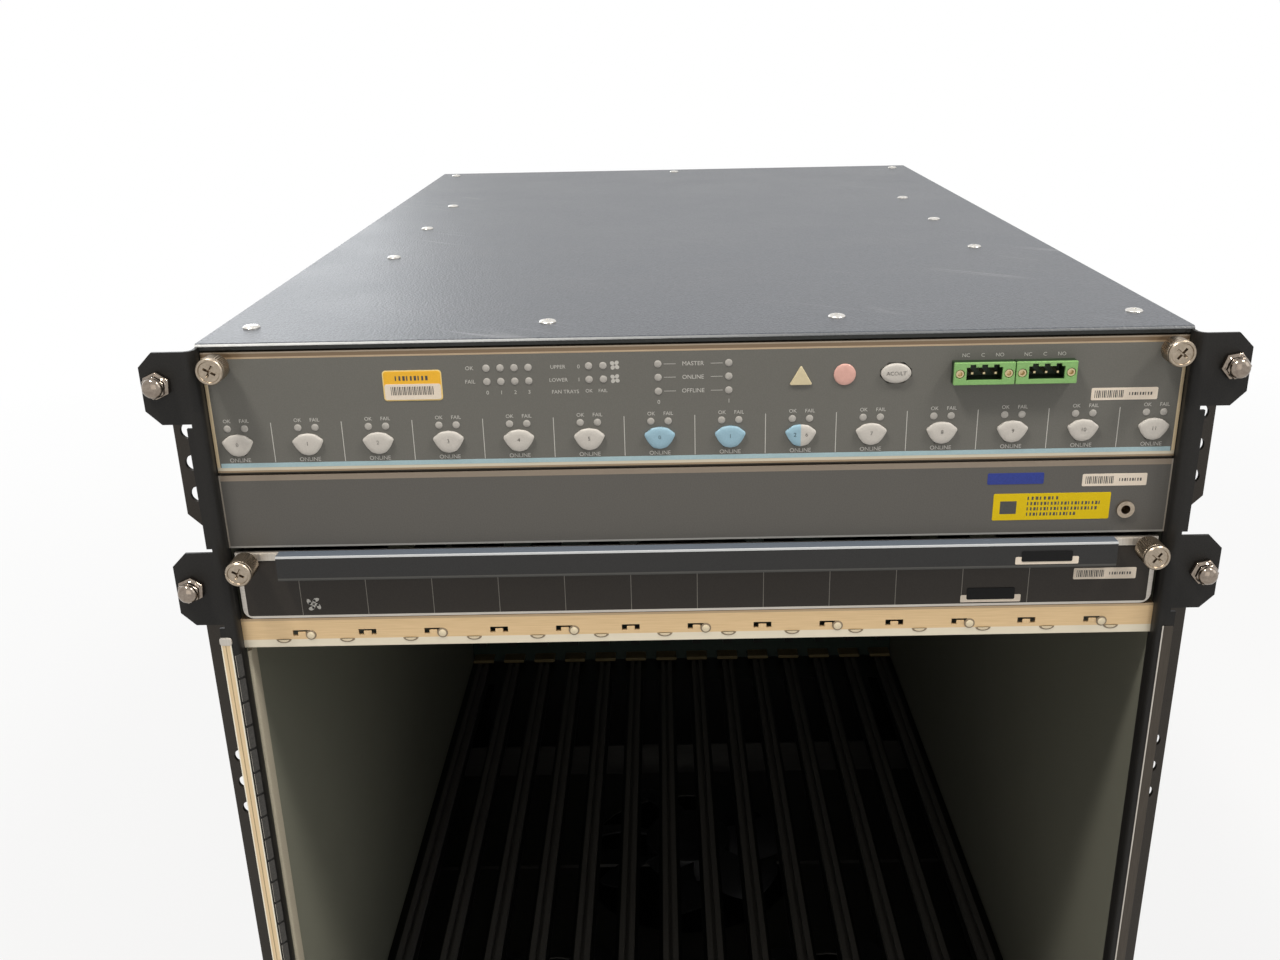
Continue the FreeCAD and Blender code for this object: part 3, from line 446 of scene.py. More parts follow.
# Ball studs: chromed steel, a hexagon flange with a domed and faceted cap that a front cover snaps
# onto. One is screwed into each ear.
chrome = coated("chrome", (0.32, 0.27, 0.22), (0.21, 0.17, 0.14), (0.08, 0.2), 700, 0.00001,
                metal=1.0, cloud=120)
nut_radius = 0.0064
nut = turned("stud_nut", 6, ((0.0058, 0.0), (nut_radius, 0.0004), (nut_radius, 0.0026), (0.0057, 0.0031)))
collar = turned("stud_collar", 24, ((0.0050, 0.0030), (0.0051, 0.0033), (0.0046, 0.0039)))
facets = turned("stud_facets", 6, ((0.0049, 0.0038), (0.0054, 0.0042), (0.0054, 0.0058), (0.0048, 0.0064)))
dome = turned("stud_dome", 24, ((0.0046, 0.0060), (0.0045, 0.0068), (0.0041, 0.0076), (0.0034, 0.0082),
                                (0.0024, 0.0087), (0.0010, 0.0090)))
for part in (nut, facets):
    ease(part, lambda ends: True, 0.00025, 2)
stud = join("stud", [nut, collar, facets, dome])
stud_low, stud_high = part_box("ball_studs")
ear_middle = 0.236
ear_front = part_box("left_side_panel")[0].y
forward = spin(math.pi / 2, "X")
stud_row = join("chrome_studs", repeat(stud, [
    at(side * ear_middle, ear_front, height) @ forward @ spin(0.3 + 0.4 * side, "Z")
    for side in sides for height in (stud_high.z - nut_radius, stud_low.z + nut_radius)]))
smooth(stud_row, 0.4)
fix(stud_row, chrome, "bright_studs", "ball_studs")

# Bare front edges of the side flanges: below the lower ears the paint was masked off the left flange,
# so its yellow plating shows, and the cut edge of the right flange is a thin bright line.
def plate(name, low, high, corner=0.0, edge=0.0):
    """Plate between two corners whose outline is rounded and whose front edge is eased."""
    low, high = Vector(low), Vector(high)
    bpy.ops.mesh.primitive_cube_add(size=1, location=(low + high) / 2, scale=high - low)
    piece = settle(name)
    if corner:
        ease(piece, lambda ends: abs(ends[0].y - ends[1].y) > 1e-6, corner, 4)
    if edge:
        ease(piece, lambda ends: max(ends[0].y, ends[1].y) < low.y + 1e-6, edge, 2)
    return piece


side_low, side_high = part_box("left_side_panel")
strip_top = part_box("upper_tray_front")[0].z - 0.0085
strip_z, cap_z = (0.004, strip_top), (strip_top - 0.0016, strip_top + 0.0026)
strip_x = strip_left, strip_right = side_low.x + 0.0164, side_low.x + 0.0214
cap_x = (strip_left - 0.0004, strip_right + 0.0006)
upright = (1, 1, 0.05)
flange_gold = coated("flange_gold", (0.8, 0.62, 0.38), (0.68, 0.51, 0.3), (0.3, 0.42), metal=0.4,
                     stretch=(1, 1, 0.04))
# Painted light on the rolled strip: a painted shade line down its middle and painted highlights along both
# edges.
band(flange_gold, (0.4, 0.29, 0.16), X=(strip_left + 0.0021, strip_left + 0.0026))
for lit_edge in strip_x:
    band(flange_gold, (0.9, 0.84, 0.7), X=(lit_edge - 0.0006, lit_edge + 0.0006))
bare_steel = coated("bare_steel", (0.62, 0.58, 0.52), (0.48, 0.44, 0.39), (0.3, 0.45), 1200, metal=0.7,
                    stretch=upright)
brown_steel = coated("brown_steel", (0.042, 0.034, 0.025), (0.06, 0.049, 0.038), (0.4, 0.55), gloss=0.3,
                     stretch=upright)
for name, finish, slot, (left, right), (foot, top), rise, corner, edge in (
        ("left_bare_flange", flange_gold, "gold_steel", strip_x, strip_z, 0.0003, 0.0012, 0.0002),
        ("left_strip_cap", bare_steel, "nickel", cap_x, cap_z, 0.0007, 0.0014, 0.0005),
        ("right_bare_edge", bare_steel, "nickel", (0.2211, 0.2218), strip_z, 0.0002, 0, 0.0001),
        ("right_brown_flange", brown_steel, "black_paint", (0.2219, 0.2264), strip_z, 0.0002, 0.0008, 0.0001)):
    bare = plate(name, (left, side_low.y - rise, foot), (right, side_low.y, top), corner, edge)
    fix(bare, finish, slot)

# Sealing strips of the card cage: a row of bare contact fingers along the bend of the left wall, glued
# on to seal the cards' edges, and behind it a rounded beige strip that stands for the light on the
# wall's rounded front edge, as a painted highlight.
finger_count, finger_pitch, first_finger = 41, 0.0133, 0.016
finger = plate("finger", (-0.0017, -0.00025, -0.0060), (0.0017, 0, 0.0060), 0.0004, 0.0001)
lean = math.radians(48)
bend_radius = 0.005
bend = Vector((side_low.x + 0.0195, side_low.y + bend_radius, 0))
on_bend = bend + Vector((math.sin(lean), -math.cos(lean), 0)) * bend_radius
fingers = repeat(finger, [at(on_bend.x, on_bend.y, first_finger + step * finger_pitch) @ spin(lean, "Z")
                          for step in range(finger_count)])
finger_steel = coated("finger_steel", (0.028, 0.026, 0.023), (0.06, 0.056, 0.05), (0.35, 0.5), 1100, 0.00008,
                      metal=0.3)
# Painted highlight along the outer edges of the fingers.
band(finger_steel, (0.5, 0.47, 0.42), X=(on_bend.x - 0.0020, on_bend.x - 0.0009))
fix(join("contact_fingers", fingers), finger_steel, "nickel")
# Painted highlight: this rounded beige strip on the wall's inner face stands for the light on its rounded
# front edge.
lit_bend = plate("cage_lit_bend", (side_high.x, -0.3333, 0.005), (side_high.x + 0.0014, -0.3237, 0.551))
ease(lit_bend, lambda ends: min(ends[0].x, ends[1].x) > side_high.x + 0.001
     and abs(ends[0].z - ends[1].z) > 0.1, 0.0013, 5)
smooth(lit_bend, 0.8)
lit_bend_beige = coated("lit_bend_beige", (0.48, 0.43, 0.335), (0.4, 0.36, 0.275), (0.5, 0.65), 1300, 0.0001,
                      gloss=0.3)
fix(lit_bend, lit_bend_beige, "guide_plastic")

# Deck and card cage: plated steel shelves that span the side panels, folded at the front to a yellow
# sill. Behind the sill they are painted near black as shade, and black grooved rails guide the cards.
def yellow_plating(name, stretch):
    """Yellow plated steel, brushed along the axis that is stretched."""
    return coated(name, (0.73, 0.53, 0.3), (0.63, 0.445, 0.24), (0.3, 0.42), metal=0.45, stretch=stretch)


deck_steel = coated("deck_steel", (0.3, 0.27, 0.21), (0.22, 0.2, 0.16), (0.35, 0.5), 900, 0.00003, metal=0.6,
                    stretch=(0.05, 1, 1))
clad(deck_steel, "power_deck")
shelves = ("cage_roof", "cage_floor")
for shelf in shelves:
    low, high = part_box(shelf)
    sill_steel = yellow_plating(f"{shelf}_steel", (0.04, 1, 1))
    # Painted highlight: the sill's lower return is paler.
    band(sill_steel, (0.72, 0.65, 0.51), Z=(low.z - 0.001, low.z + 0.0040))
    # Painted shadow along the sill's top edge, under the tray.
    band(sill_steel, (0.43, 0.31, 0.185), Z=(high.z - 0.0012, high.z + 0.001))
    # Painted shade: behind the sill the shelf turns near black.
    overpaint(sill_steel, ramp_along(sill_steel, "Y", low.y + 0.0086, low.y + 0.0095), (0.01, 0.01, 0.009))
    clad(sill_steel, shelf)
rail_black = coated("rail_black", (0.07, 0.066, 0.06), (0.09, 0.085, 0.077), (0.5, 0.65), 800, 0.00003,
                    gloss=0.2)
clad(rail_black, "card_guides")

# Stamped dimples, bosses and tongues of the sills: half-round bumps are pressed into the lower return,
# round bosses stand at every second notch, and tongues left in the notches locate the cards' latches.
def half_bump(name, radius, height):
    """Half-round bump that bulges to the front, flat on its upper side."""
    bump = turned(name, 28, ((radius, 0.0), (radius * 0.96, height * 0.45), (radius * 0.8, height * 0.85),
                             (radius * 0.45, height)))
    bump.data.transform(Matrix.Diagonal((1, 1, 0.55, 1)) @ forward)
    pick(bump, "EDGE", lambda ends: True)
    bpy.ops.mesh.bisect(plane_co=(0, 0, 0), plane_no=(0, 0, 1), clear_outer=True, use_fill=True)
    bpy.ops.object.mode_set(mode="OBJECT")
    smooth(bump)
    return bump


card_pitch = 0.03175
dimple_pitch = 0.0307
# Painted shade on the rims of the bumps and bosses, and a painted highlight on their crowns.
dimple_rim_shade = coated("dimple_rim_shade", (0.2, 0.155, 0.1), (0.27, 0.21, 0.14), (0.35, 0.5), metal=0.4)
dimple_highlight = coated("dimple_highlight", (0.74, 0.64, 0.46), (0.64, 0.54, 0.37), (0.3, 0.42), metal=0.4)
gold_steel = yellow_plating("gold_steel", (1, 1, 0.04))
ring = half_bump("ring", 0.0037, 0.0004)
pad = half_bump("pad", 0.0028, 0.0006)
boss_rim = turned("boss_rim", 24, ((0.0026, 0.0), (0.0025, 0.0003), (0.0020, 0.0004)))
boss = turned("boss", 24, ((0.0019, 0.0002), (0.0018, 0.0006), (0.0013, 0.0008), (0.0005, 0.0009)))
for part in (boss_rim, boss):
    part.data.transform(forward)
    smooth(part)
tongue = plate("tongue", (-0.0019, 0, 0.0057), (0.0019, 0.0006, 0.0078), 0.0004, 0.0002)
for shelf in shelves:
    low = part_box(shelf)[0]
    dimples = [at((step - 6.5) * dimple_pitch, low.y, low.z + 0.0040) for step in range(14)]
    bosses = [at((step - 6) * card_pitch + 0.0044, low.y, low.z + 0.0062) for step in range(0, 13, 2)]
    notches = [at((step - 6) * card_pitch, low.y, low.z) for step in range(13)]
    for kind, finish, rows in (("dimple_rims", dimple_rim_shade, ((ring, dimples), (boss_rim, bosses))),
                               ("dimples", dimple_highlight, ((pad, dimples), (boss, bosses))),
                               ("tongues", gold_steel, ((tongue, notches),))):
        stamped = [copy_to(pattern, place) for pattern, places in rows for place in places]
        fix(join(f"{shelf}_{kind}", stamped), finish, "gold_steel")
for pattern in (ring, pad, boss_rim, boss, tongue):
    bpy.data.objects.remove(pattern)

# Midplane: a dark green board across the back of the cage with a tall black connector for each card,
# and a row of plated brackets that stiffen the board's foot.
board_green = coated("board_green", (0.006, 0.014, 0.009), (0.010, 0.02, 0.013), (0.4, 0.55), 500,
                     gloss=0.4)
clad(board_green, "midplane", "display_board")
connector_black = coated("connector_black", (0.012, 0.012, 0.011), (0.02, 0.02, 0.018), (0.4, 0.55), 900,
                         gloss=0.3)
clad(connector_black, "midplane_connectors")
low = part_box("midplane")[0]
foot = plate("bracket", (-0.0105, low.y - 0.0138, low.z + 0.0052),
             (0.0105, low.y, low.z + 0.0085), 0.001, 0.0004)
brackets = repeat(foot, [at((step - 6.5) * card_pitch, 0, 0) for step in range(14)])
bracket_brass = coated("bracket_brass", (0.16, 0.12, 0.045), (0.09, 0.065, 0.025), (0.45, 0.6), 700,
                       metal=0.2, cloud=60)
fix(join("midplane_brackets", brackets), bracket_brass, "gold_steel")

# Display: a plated frame around an anodised panel in warm dark grey, printed in pale grey and edged
# below by a pale blue stripe. The frame hangs on two captive screws.
rim_low, rim_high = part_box("display_frame")
frame_steel = coated("frame_steel", (0.46, 0.35, 0.23), (0.36, 0.26, 0.165), (0.28, 0.4), metal=0.4,
                     stretch=(0.04, 1, 1))
# Painted reflections on the top and bottom rims: light lines and dark bands, with painted shade in the gap
# along the bottom edge.
for rim_z, start, end, tone in ((rim_high.z, -0.0006, 0.001, (0.31, 0.255, 0.19)),
                                (rim_high.z, -0.0022, -0.0006, (0.175, 0.12, 0.072)),
                                (rim_low.z, 0.0015, 0.0031, (0.58, 0.52, 0.4)),
                                (rim_low.z, 0.0006, 0.0015, (0.3, 0.22, 0.14)),
                                (rim_low.z, -0.001, 0.0006, (0.03, 0.022, 0.012))):
    band(frame_steel, tone, Z=(rim_z + start, rim_z + end))
# Painted highlight: the uprights of the frame are lighter.
rim_width = 0.0032
for rim_x in (rim_low.x, rim_high.x):
    band(frame_steel, (0.66, 0.53, 0.34), X=(rim_x - rim_width, rim_x + rim_width),
         Z=(rim_low.z + 0.0031, rim_high.z - 0.0022))
clad(frame_steel, "display_frame")
overlay = coated("display_overlay", (0.125, 0.122, 0.11), (0.145, 0.142, 0.128), (0.5, 0.62), 1800,
                 gloss=0.3)
clad(overlay, "display_panel")
panel_low, panel_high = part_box("display_panel")
front = panel_low.y
ink_depth = 0.00008
stripe_blue = coated("stripe_blue", (0.38, 0.52, 0.56), (0.33, 0.47, 0.52), (0.45, 0.55), 1200, 0.00001,
                     gloss=0.3)
stripe = plate("display_stripe", (panel_low.x + 0.0005, front - ink_depth, panel_low.z - 0.0001),
               (panel_high.x - 0.0005, front, panel_low.z + 0.0020), 0, 0.00003)
fix(stripe, stripe_blue, "panel_overlay")


def words(text, size, x, z, y=front):
    """Printed letters that face the front, as a thin mesh."""
    bpy.ops.object.text_add(location=(x, y, z), rotation=(math.pi / 2, 0, 0))
    print_line = bpy.context.object
    print_line.data.body = text
    print_line.data.size = size
    print_line.data.align_x = "CENTER"
    print_line.data.align_y = "CENTER"
    print_line.data.extrude = ink_depth / 2
    print_line.data.resolution_u = 3
    bpy.ops.object.convert(target="MESH")
    return settle("words")


def bar(x0, x1, z0, z1, y=front):
    """Printed line or field with eased edges."""
    return plate("bar", (x0, y - ink_depth / 2, z0), (x1, y + ink_depth / 2, z1), 0, 0.00002)


def fan_sign(x, z, size, y, turn, petals):
    """Sign of a fan: four blades, each made of ovals given as shares of the sign's size."""
    blades = []
    for across, outwards, radius, stretch, lean in petals:
        oval = turned("oval", 14, ((size * radius, 0.0), (size * radius, ink_depth)))
        oval.data.transform(spin(lean, "Y") @ Matrix.Diagonal((1, 1, stretch, 1)) @ forward)
        oval.data.transform(at(size * across, 0, size * outwards))
        blades += repeat(oval, [at(x, y + ink_depth / 2, z) @ spin(turn + quarter * math.pi / 2, "Y")
                                for quarter in range(4)])
    return blades


button_pitch = 0.03194
columns = [(step - 6.5) * button_pitch for step in range(14)]
supply_columns = [-0.0926 + step * 0.00623 for step in range(4)]
relay_blocks = (0.1280, 0.1555)
lamp_sign_row, online_row, digit_row = 0.6691, 0.6504, 0.6803
printed = []
for x in columns:
    printed += [words("OK", 0.0024, x - 0.0037, lamp_sign_row),
                words("FAIL", 0.0024, x + 0.0040, lamp_sign_row)]
    printed.append(words("ONLINE", 0.0027, x, online_row))
half_line = 0.00017
for x in columns[1:]:
    slot_edge = x - button_pitch / 2
    printed.append(bar(slot_edge - half_line, slot_edge + half_line, 0.6493, 0.6682))
for text, size, x, z in (("OK", 0.0025, -0.1001, 0.6917), ("FAIL", 0.0025, -0.1001, 0.6855),
                         ("FAN TRAYS", 0.0024, -0.0578, 0.6801), ("UPPER", 0.0024, -0.0607, 0.6916),
                         ("0", 0.0025, -0.0515, 0.6916), ("LOWER", 0.0024, -0.0607, 0.6856),
                         ("1", 0.0025, -0.0515, 0.6856), ("OK", 0.0022, -0.0472, digit_row),
                         ("FAIL", 0.0022, -0.0410, digit_row), ("MASTER", 0.0027, -0.0006, 0.6921),
                         ("ONLINE", 0.0027, -0.0006, 0.6859), ("OFFLINE", 0.0027, -0.0006, 0.6796),
                         ("0", 0.0026, -0.0161, 0.6745), ("1", 0.0026, 0.0154, 0.6745)):
    printed.append(words(text, size, x, z))
for step, x in enumerate(supply_columns):
    printed.append(words(str(step), 0.0025, x, digit_row))
for z in (0.6921, 0.6860, 0.6796):
    printed += [bar(start, start + 0.0053, z - 0.0001, z + 0.0001) for start in (-0.0136, 0.0073)]
for block in relay_blocks:
    for text, shift in (("NC", -0.0075), ("C", 0), ("NO", 0.0075)):
        printed.append(words(text, 0.0024, block + shift, 0.6934))
round_petal = ((0.03, 0.3, 0.195, 1.15, 0.0),)
for z in (0.6920, 0.6858):
    printed += fan_sign(-0.0354, z, 0.0046, front, 0.6, round_petal)
pale_ink = coated("pale_ink", (0.56, 0.55, 0.52), (0.46, 0.45, 0.42), (0.5, 0.6), 2500, 0.00001, gloss=0.3)
fix(join("display_print", printed), pale_ink, "panel_overlay")

# Signal lamps: small light pipes of clouded acrylic, pressed into the display panel from behind so
# that their domed ends stand just proud of it.
lens = turned("lens", 18, ((0.00165, 0.0), (0.00165, 0.00012), (0.00145, 0.00026), (0.0008, 0.00034)))
lens.data.transform(forward)
smooth(lens)
lamp_places = [(x + shift, 0.6656) for x in columns for shift in (-0.0039, 0.0039)]
lamp_places += [(x, z) for x in supply_columns for z in (0.6917, 0.6855)]
lamp_places += [(x, z) for x in (-0.0470, -0.0406) for z in (0.6919, 0.6857)]
lamp_places += [(x, z) for x in (-0.0162, 0.0153) for z in (0.6922, 0.6860, 0.6796)]
lenses = repeat(lens, [at(x, front, z) for x, z in lamp_places])
clouded = coated("clouded_acrylic", (0.34, 0.325, 0.3), (0.44, 0.42, 0.39), (0.25, 0.4), 700, 0.00001)
fix(join("signal_lamps", lenses), clouded, "panel_overlay")

# Slot buttons: moulded shield-shaped caps with a softly crowned face, one for each card, numbered in
# dark ink. The two in the middle are blue, and the one after them is blue on its left half.
def shield_cap(name, proud):
    """Shield outline from a ten-sided disc whose corners are drawn out, rounded and crowned."""
    upper = ((0.0072, 0.0013), (0.0036, 0.0041), (0.0, 0.0047), (-0.0036, 0.0041), (-0.0072, 0.0013))
    lower = ((-0.0053, -0.0024), (-0.0031, -0.0049), (0.0, -0.0056), (0.0031, -0.0049), (0.0053, -0.0024))
    bpy.ops.mesh.primitive_circle_add(vertices=10, radius=0.005, fill_type="NGON")
    cap = settle(name)
    for point, (x, z) in zip(cap.data.vertices, upper + lower):
        point.co = (x, 0, z)
    pick(cap, "FACE", lambda corners: True)
    bpy.ops.mesh.bevel(offset=0.0009, segments=5, affect="VERTICES")
    bpy.ops.mesh.select_all(action="SELECT")
    bpy.ops.mesh.extrude_region_move(TRANSFORM_OT_translate={"value": (0, -proud + 0.0005, 0)})
    for shrink, rise in ((0.94, 0.0003), (0.93, 0.00015), (0.6, 0.00005)):
        raised((0, -rise, 0), shrink, 1, shrink)
    close_up()
    smooth(cap, 0.7)
    return cap


def button_paint(name, colour, worn):
    """Moulded plastic of a button."""
    return coated(name, colour, worn, (0.35, 0.48), gloss=0.4)


def inked_cap(name, cap, finish, inks, node):
    """Join a cap and its printed signs to one piece, in place of a CAD button."""
    coat(cap.data, finish)
    coat(inks.data, dark_ink)
    whole = join(name, [cap, inks])
    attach(whole, node)
    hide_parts(node)


cap_grey, cap_worn = (0.56, 0.53, 0.49), (0.5, 0.475, 0.44)
button_grey = button_paint("button_grey", cap_grey, cap_worn)
button_blue = button_paint("button_blue", (0.3, 0.47, 0.57), (0.26, 0.42, 0.52))
button_halves = button_paint("button_halves", cap_grey, cap_worn)
left_half = ramp_along(button_halves, "X", columns[8] + 0.0002, columns[8] - 0.0002)
overpaint(button_halves, left_half, (0.28, 0.45, 0.55))
dark_ink = coated("dark_ink", (0.05, 0.05, 0.048), (0.08, 0.08, 0.075), (0.5, 0.6), 2500, 0.00001,
                  gloss=0.3)
special_finish = {7: button_blue, 8: button_blue, 9: button_halves}
marks = ("0", "1", "2", "3", "4", "5", "0", "1", "2 6", "7", "8", "9", "10", "11")
mark_size = mark_shift = 0.0026
button_row = 0.6582
button_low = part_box("slot_button_1")[0]
proud = front - button_low.y
stem = 0.002
face = button_low.y + ink_depth / 2
shield = shield_cap("shield", proud + stem)
for number, (x, mark) in enumerate(zip(columns, marks), start=1):
    signs = mark.split()
    shifts = (-mark_shift, mark_shift) if len(signs) > 1 else (0,)
    inks = join("ink", [words(sign, mark_size, x + shift, button_row, face)
                        for sign, shift in zip(signs, shifts)])
    cap = copy_to(shield, at(x, front + stem, button_row))
    inked_cap(f"slot_button_cap_{number}", cap, special_finish.get(number, button_grey), inks,
              f"slot_button_{number}")
bpy.data.objects.remove(shield)

# Lamp-test button: an oval moulded cap with a flat face, printed with its function. It sits in an
# opening of its own beside the alarm lamps.
test_x, test_z = 0.0898, 0.6860
test_cap = turned("test_cap", 40, ((0.0045, 0.0), (0.0045, proud + 0.0012), (0.0043, proud + 0.0016),
                                   (0.0038, proud + 0.0019), (0.0030, proud + stem)))
test_cap.data.transform(at(test_x, front + stem, test_z) @ Matrix.Diagonal((1.49, 1, 1, 1)) @ forward)
smooth(test_cap, 0.7)
function = words("ACO/LT", 0.0025, test_x, test_z, front - proud + ink_depth / 2)
inked_cap("lamp_test_cap", test_cap, button_grey, function, "lamp_test_button")

# Alarm lamps: a round and a three-cornered lens of tinted plastic, glued into the panel, with eased
# rims and a slightly domed face.
lens_height = 0.0008
lens_sheen = (0.25, 0.36)
round_lens = turned("round_lens", 40, ((0.0049, 0.0), (0.0049, 0.0003), (0.0047, 0.0006), (0.0042, 0.00075),
                                       (0.0024, lens_height)))
round_lens.data.transform(at(0.067, front, 0.6858) @ forward)
smooth(round_lens, 0.7)
pink_lens = coated("pink_lens", (0.69, 0.4, 0.34), (0.62, 0.34, 0.29), lens_sheen, 600)
fix(round_lens, pink_lens, "lamp_lens", "alarm_lamps")
corner_lens = turned("caution_lens", 3, ((0.0060, 0.0), (0.0060, 0.0005), (0.0055, lens_height)))
ease(corner_lens, lambda ends: abs(ends[0].z - ends[1].z) > 1e-5, 0.0007, 4)
corner_lens.data.transform(at(0.0475, front, 0.6844) @ forward)
smooth(corner_lens, 0.5)
cream_lens = coated("cream_lens", (0.65, 0.56, 0.36), (0.58, 0.5, 0.32), lens_sheen, 600)
fix(corner_lens, cream_lens, "lamp_lens")

# Relay sockets: two green moulded headers soldered to the board, each open to the front around three
# square pins, with a brass insert at either end for the plug's screws.
green_plastic = coated("green_plastic", (0.2, 0.4, 0.13), (0.24, 0.45, 0.16), (0.38, 0.5), 900, 0.00003,
                       gloss=0.4)
brass = coated("brass", (0.62, 0.5, 0.3), (0.5, 0.4, 0.24), (0.25, 0.38), 900, 0.00001, metal=1.0, cloud=90)
low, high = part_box("relay_sockets")
middle = (low.z + high.z) / 2
mouth = low.y - 0.001
pin_shifts = (-0.0052, 0, 0.0052)
insert_shifts = (-0.0108, 0.0108)
# Painted shade: the green turns near black deeper than the sockets' front, in their openings and along their
# sides.
overpaint(green_plastic, ramp_along(green_plastic, "Y", low.y + 0.0006, low.y + 0.0016), (0.012, 0.03, 0.01))
shells, pins = [], []
for block in relay_blocks:
    shell = plate("shell", (block - 0.0135, low.y, low.z), (block + 0.0135, high.y, high.z), 0.0004, 0.0003)
    hollows = [plate("hollow", (block - 0.0080, mouth, middle - 0.0030),
                     (block + 0.0080, low.y + 0.0085, middle + 0.0030))]
    for x in [block + shift for shift in pin_shifts]:
        hollows.append(plate("key", (x - 0.0013, mouth, middle + 0.0020),
                             (x + 0.0013, low.y + 0.0070, middle + 0.0042)))
        pins.append(plate("pin", (x - 0.0006, low.y + 0.0012, middle - 0.0006),
                          (x + 0.0006, low.y + 0.0084, middle + 0.0006), 0, 0.0003))
    for x in [block + shift for shift in insert_shifts]:
        screw_hole = turned("screw_hole", 24, ((0.0021, -0.001), (0.0021, 0.004)))
        screw_hole.data.transform(at(x, low.y, middle) @ spin(-math.pi / 2, "X"))
        hollows.append(screw_hole)
        insert = turned("insert", 24, ((0.0020, 0.0), (0.0020, 0.0026), (0.0017, 0.0029), (0.0011, 0.0029),
                                       (0.0010, 0.0012)))
        insert.data.transform(at(x, low.y + 0.0032, middle) @ forward)
        smooth(insert)
        pins.append(insert)
    cut_out(shell, hollows)
    shells.append(shell)
fix(join("relay_shells", shells), green_plastic, "green_plastic", "relay_sockets")
fix(join("relay_pins", pins), brass, "nickel")

# Captive thumbscrews: nickel-plated brass with a straight knurl, a plain rim and a cross recess. Two
# hold the display and two hold each fan tray.
def thumbscrew(name, length):
    """Knurled head on a neck, along Z: every other edge of the knurl is drawn in."""
    neck = 0.003
    tip = neck + length
    dish = tip - 0.0006
    profile = ((0.0040, 0.0), (0.0040, neck), (0.0056, neck + 0.0001), (0.0060, neck + 0.0006),
               (0.0060, tip - 0.0028), (0.0056, tip - 0.0024), (0.0057, tip - 0.0020), (0.0060, tip - 0.0017),
               (0.0060, tip - 0.0005), (0.0056, tip), (0.0048, tip), (0.0045, dish), (0.0020, dish))
    screw = turned(name, 96, profile)
    for number, point in enumerate(screw.data.vertices):
        if neck + 0.0005 < point.co.z < tip - 0.0027 and number % 2:
            point.co.x *= 0.945
            point.co.y *= 0.945
    smooth(screw, 0.35)
    sink_cross(screw, dish, 0.0082, 0.0016, 0.0018)
    return screw


nickel = coated("nickel_plate", (0.42, 0.352, 0.275), (0.29, 0.238, 0.18), (0.24, 0.4), 900,
                metal=1.0, cloud=90)
thumb_x = 0.211
for node, body, length in (("display_screws", "chassis", 0.010), ("upper_tray_screws", "upper_tray", 0.013),
                           ("lower_tray_screws", "lower_tray", 0.013)):
    low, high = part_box(node)
    pair = repeat(thumbscrew("thumb", length), [
        at(side * thumb_x, front, (low.z + high.z) / 2) @ forward @ spin(0.7 * side + 0.2, "Z")
        for side in sides])
    fix(join(f"knurled_{node}", pair), nickel, "nickel", node, body=body)

# Ground panel: a folded cover painted warm grey, with the nickel jack for a wrist strap at its right.
# Paper labels with generic bars, a strip of blue tape and a yellow label are stuck to it.
panel_grey = coated("panel_grey", (0.088, 0.083, 0.075), (0.103, 0.098, 0.089), (0.42, 0.55), 1500, 0.00003,
                    gloss=0.35)
low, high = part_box("ground_panel")
# Painted highlights on the top return and along the bottom edge; both side edges are lighter.
band(panel_grey, (0.25, 0.205, 0.16), Z=(high.z - 0.0026, high.z + 0.001))
band(panel_grey, (0.3, 0.295, 0.28), Z=(low.z - 0.001, low.z + 0.0009))
for side_span in ((high.x - 0.0007, high.x + 0.001), (low.x - 0.001, low.x + 0.0007)):
    band(panel_grey, (0.3, 0.27, 0.23), X=side_span)
clad(panel_grey, "ground_panel")
clad(nickel, "ground_jack")


def paper(name, colour, worn, rough=(0.5, 0.6), gloss=0.3):
    """Printed paper or film of a label."""
    return coated(name, colour, worn, rough, 1800, 0.00001, gloss=gloss)


def stuck_label(name, wide, tall, finish, slot, prints=(), y=front, body="chassis", corner=0.0006):
    """Thin label with rounded corners; its prints are fields given as shares of its width and height."""
    (x0, x1), (z0, z1) = wide, tall
    face = y - 0.00012
    fix(plate(name, (x0, face, z0), (x1, y, z1), corner, 0.00004), finish, slot, body=body)
    width, height = x1 - x0, z1 - z0
    fields = [bar(x0 + left * width, x0 + right * width, z0 + foot * height, z0 + head * height, face)
              for left, right, foot, head in prints]
    if fields:
        fix(join(f"{name}_print", fields), dark_ink, slot, body=body)


def code_bars(left, right, foot, head, count):
    """Upright bars of uneven width, as in a bar code that codes nothing."""
    step = (right - left) / count
    starts = [(left + number * step, 0.35 + 0.15 * (number * 7 % 3)) for number in range(count)]
    return [(start, start + step * share, foot, head) for start, share in starts]


label_white = paper("label_white", (0.8, 0.71, 0.6), (0.72, 0.63, 0.53))
label_yellow = paper("label_yellow", (0.72, 0.52, 0.004), (0.64, 0.46, 0.004), (0.4, 0.5), 0.2)
label_amber = paper("label_amber", (0.86, 0.47, 0.03), (0.78, 0.42, 0.025), (0.35, 0.45), 0.4)
label_border = paper("label_border", (0.88, 0.68, 0.27), (0.8, 0.6, 0.22), (0.35, 0.45), 0.4)
tape_blue = coated("tape_blue", (0.014, 0.03, 0.2), (0.02, 0.04, 0.26), (0.4, 0.55), 1200,
                   0.00003, gloss=0.4)
serial = code_bars(0.05, 0.5, 0.2, 0.8, 16) + code_bars(0.57, 0.93, 0.38, 0.62, 9)
stuck_label("ground_label", (0.1782, 0.2079), (0.6303, 0.6363), label_white, "panel_paint", serial)
stuck_label("ground_tape", (0.1345, 0.1604), (0.6319, 0.6374), tape_blue, "panel_paint")
note_start = 0.29
note_print = [(0.06, 0.2, 0.24, 0.72)]
for row, (end, count) in enumerate(((0.569, 8), (0.93, 22), (0.9, 21), (0.72, 15))):
    note_print += code_bars(note_start, end, 0.76 - row * 0.2, 0.88 - row * 0.2, count)
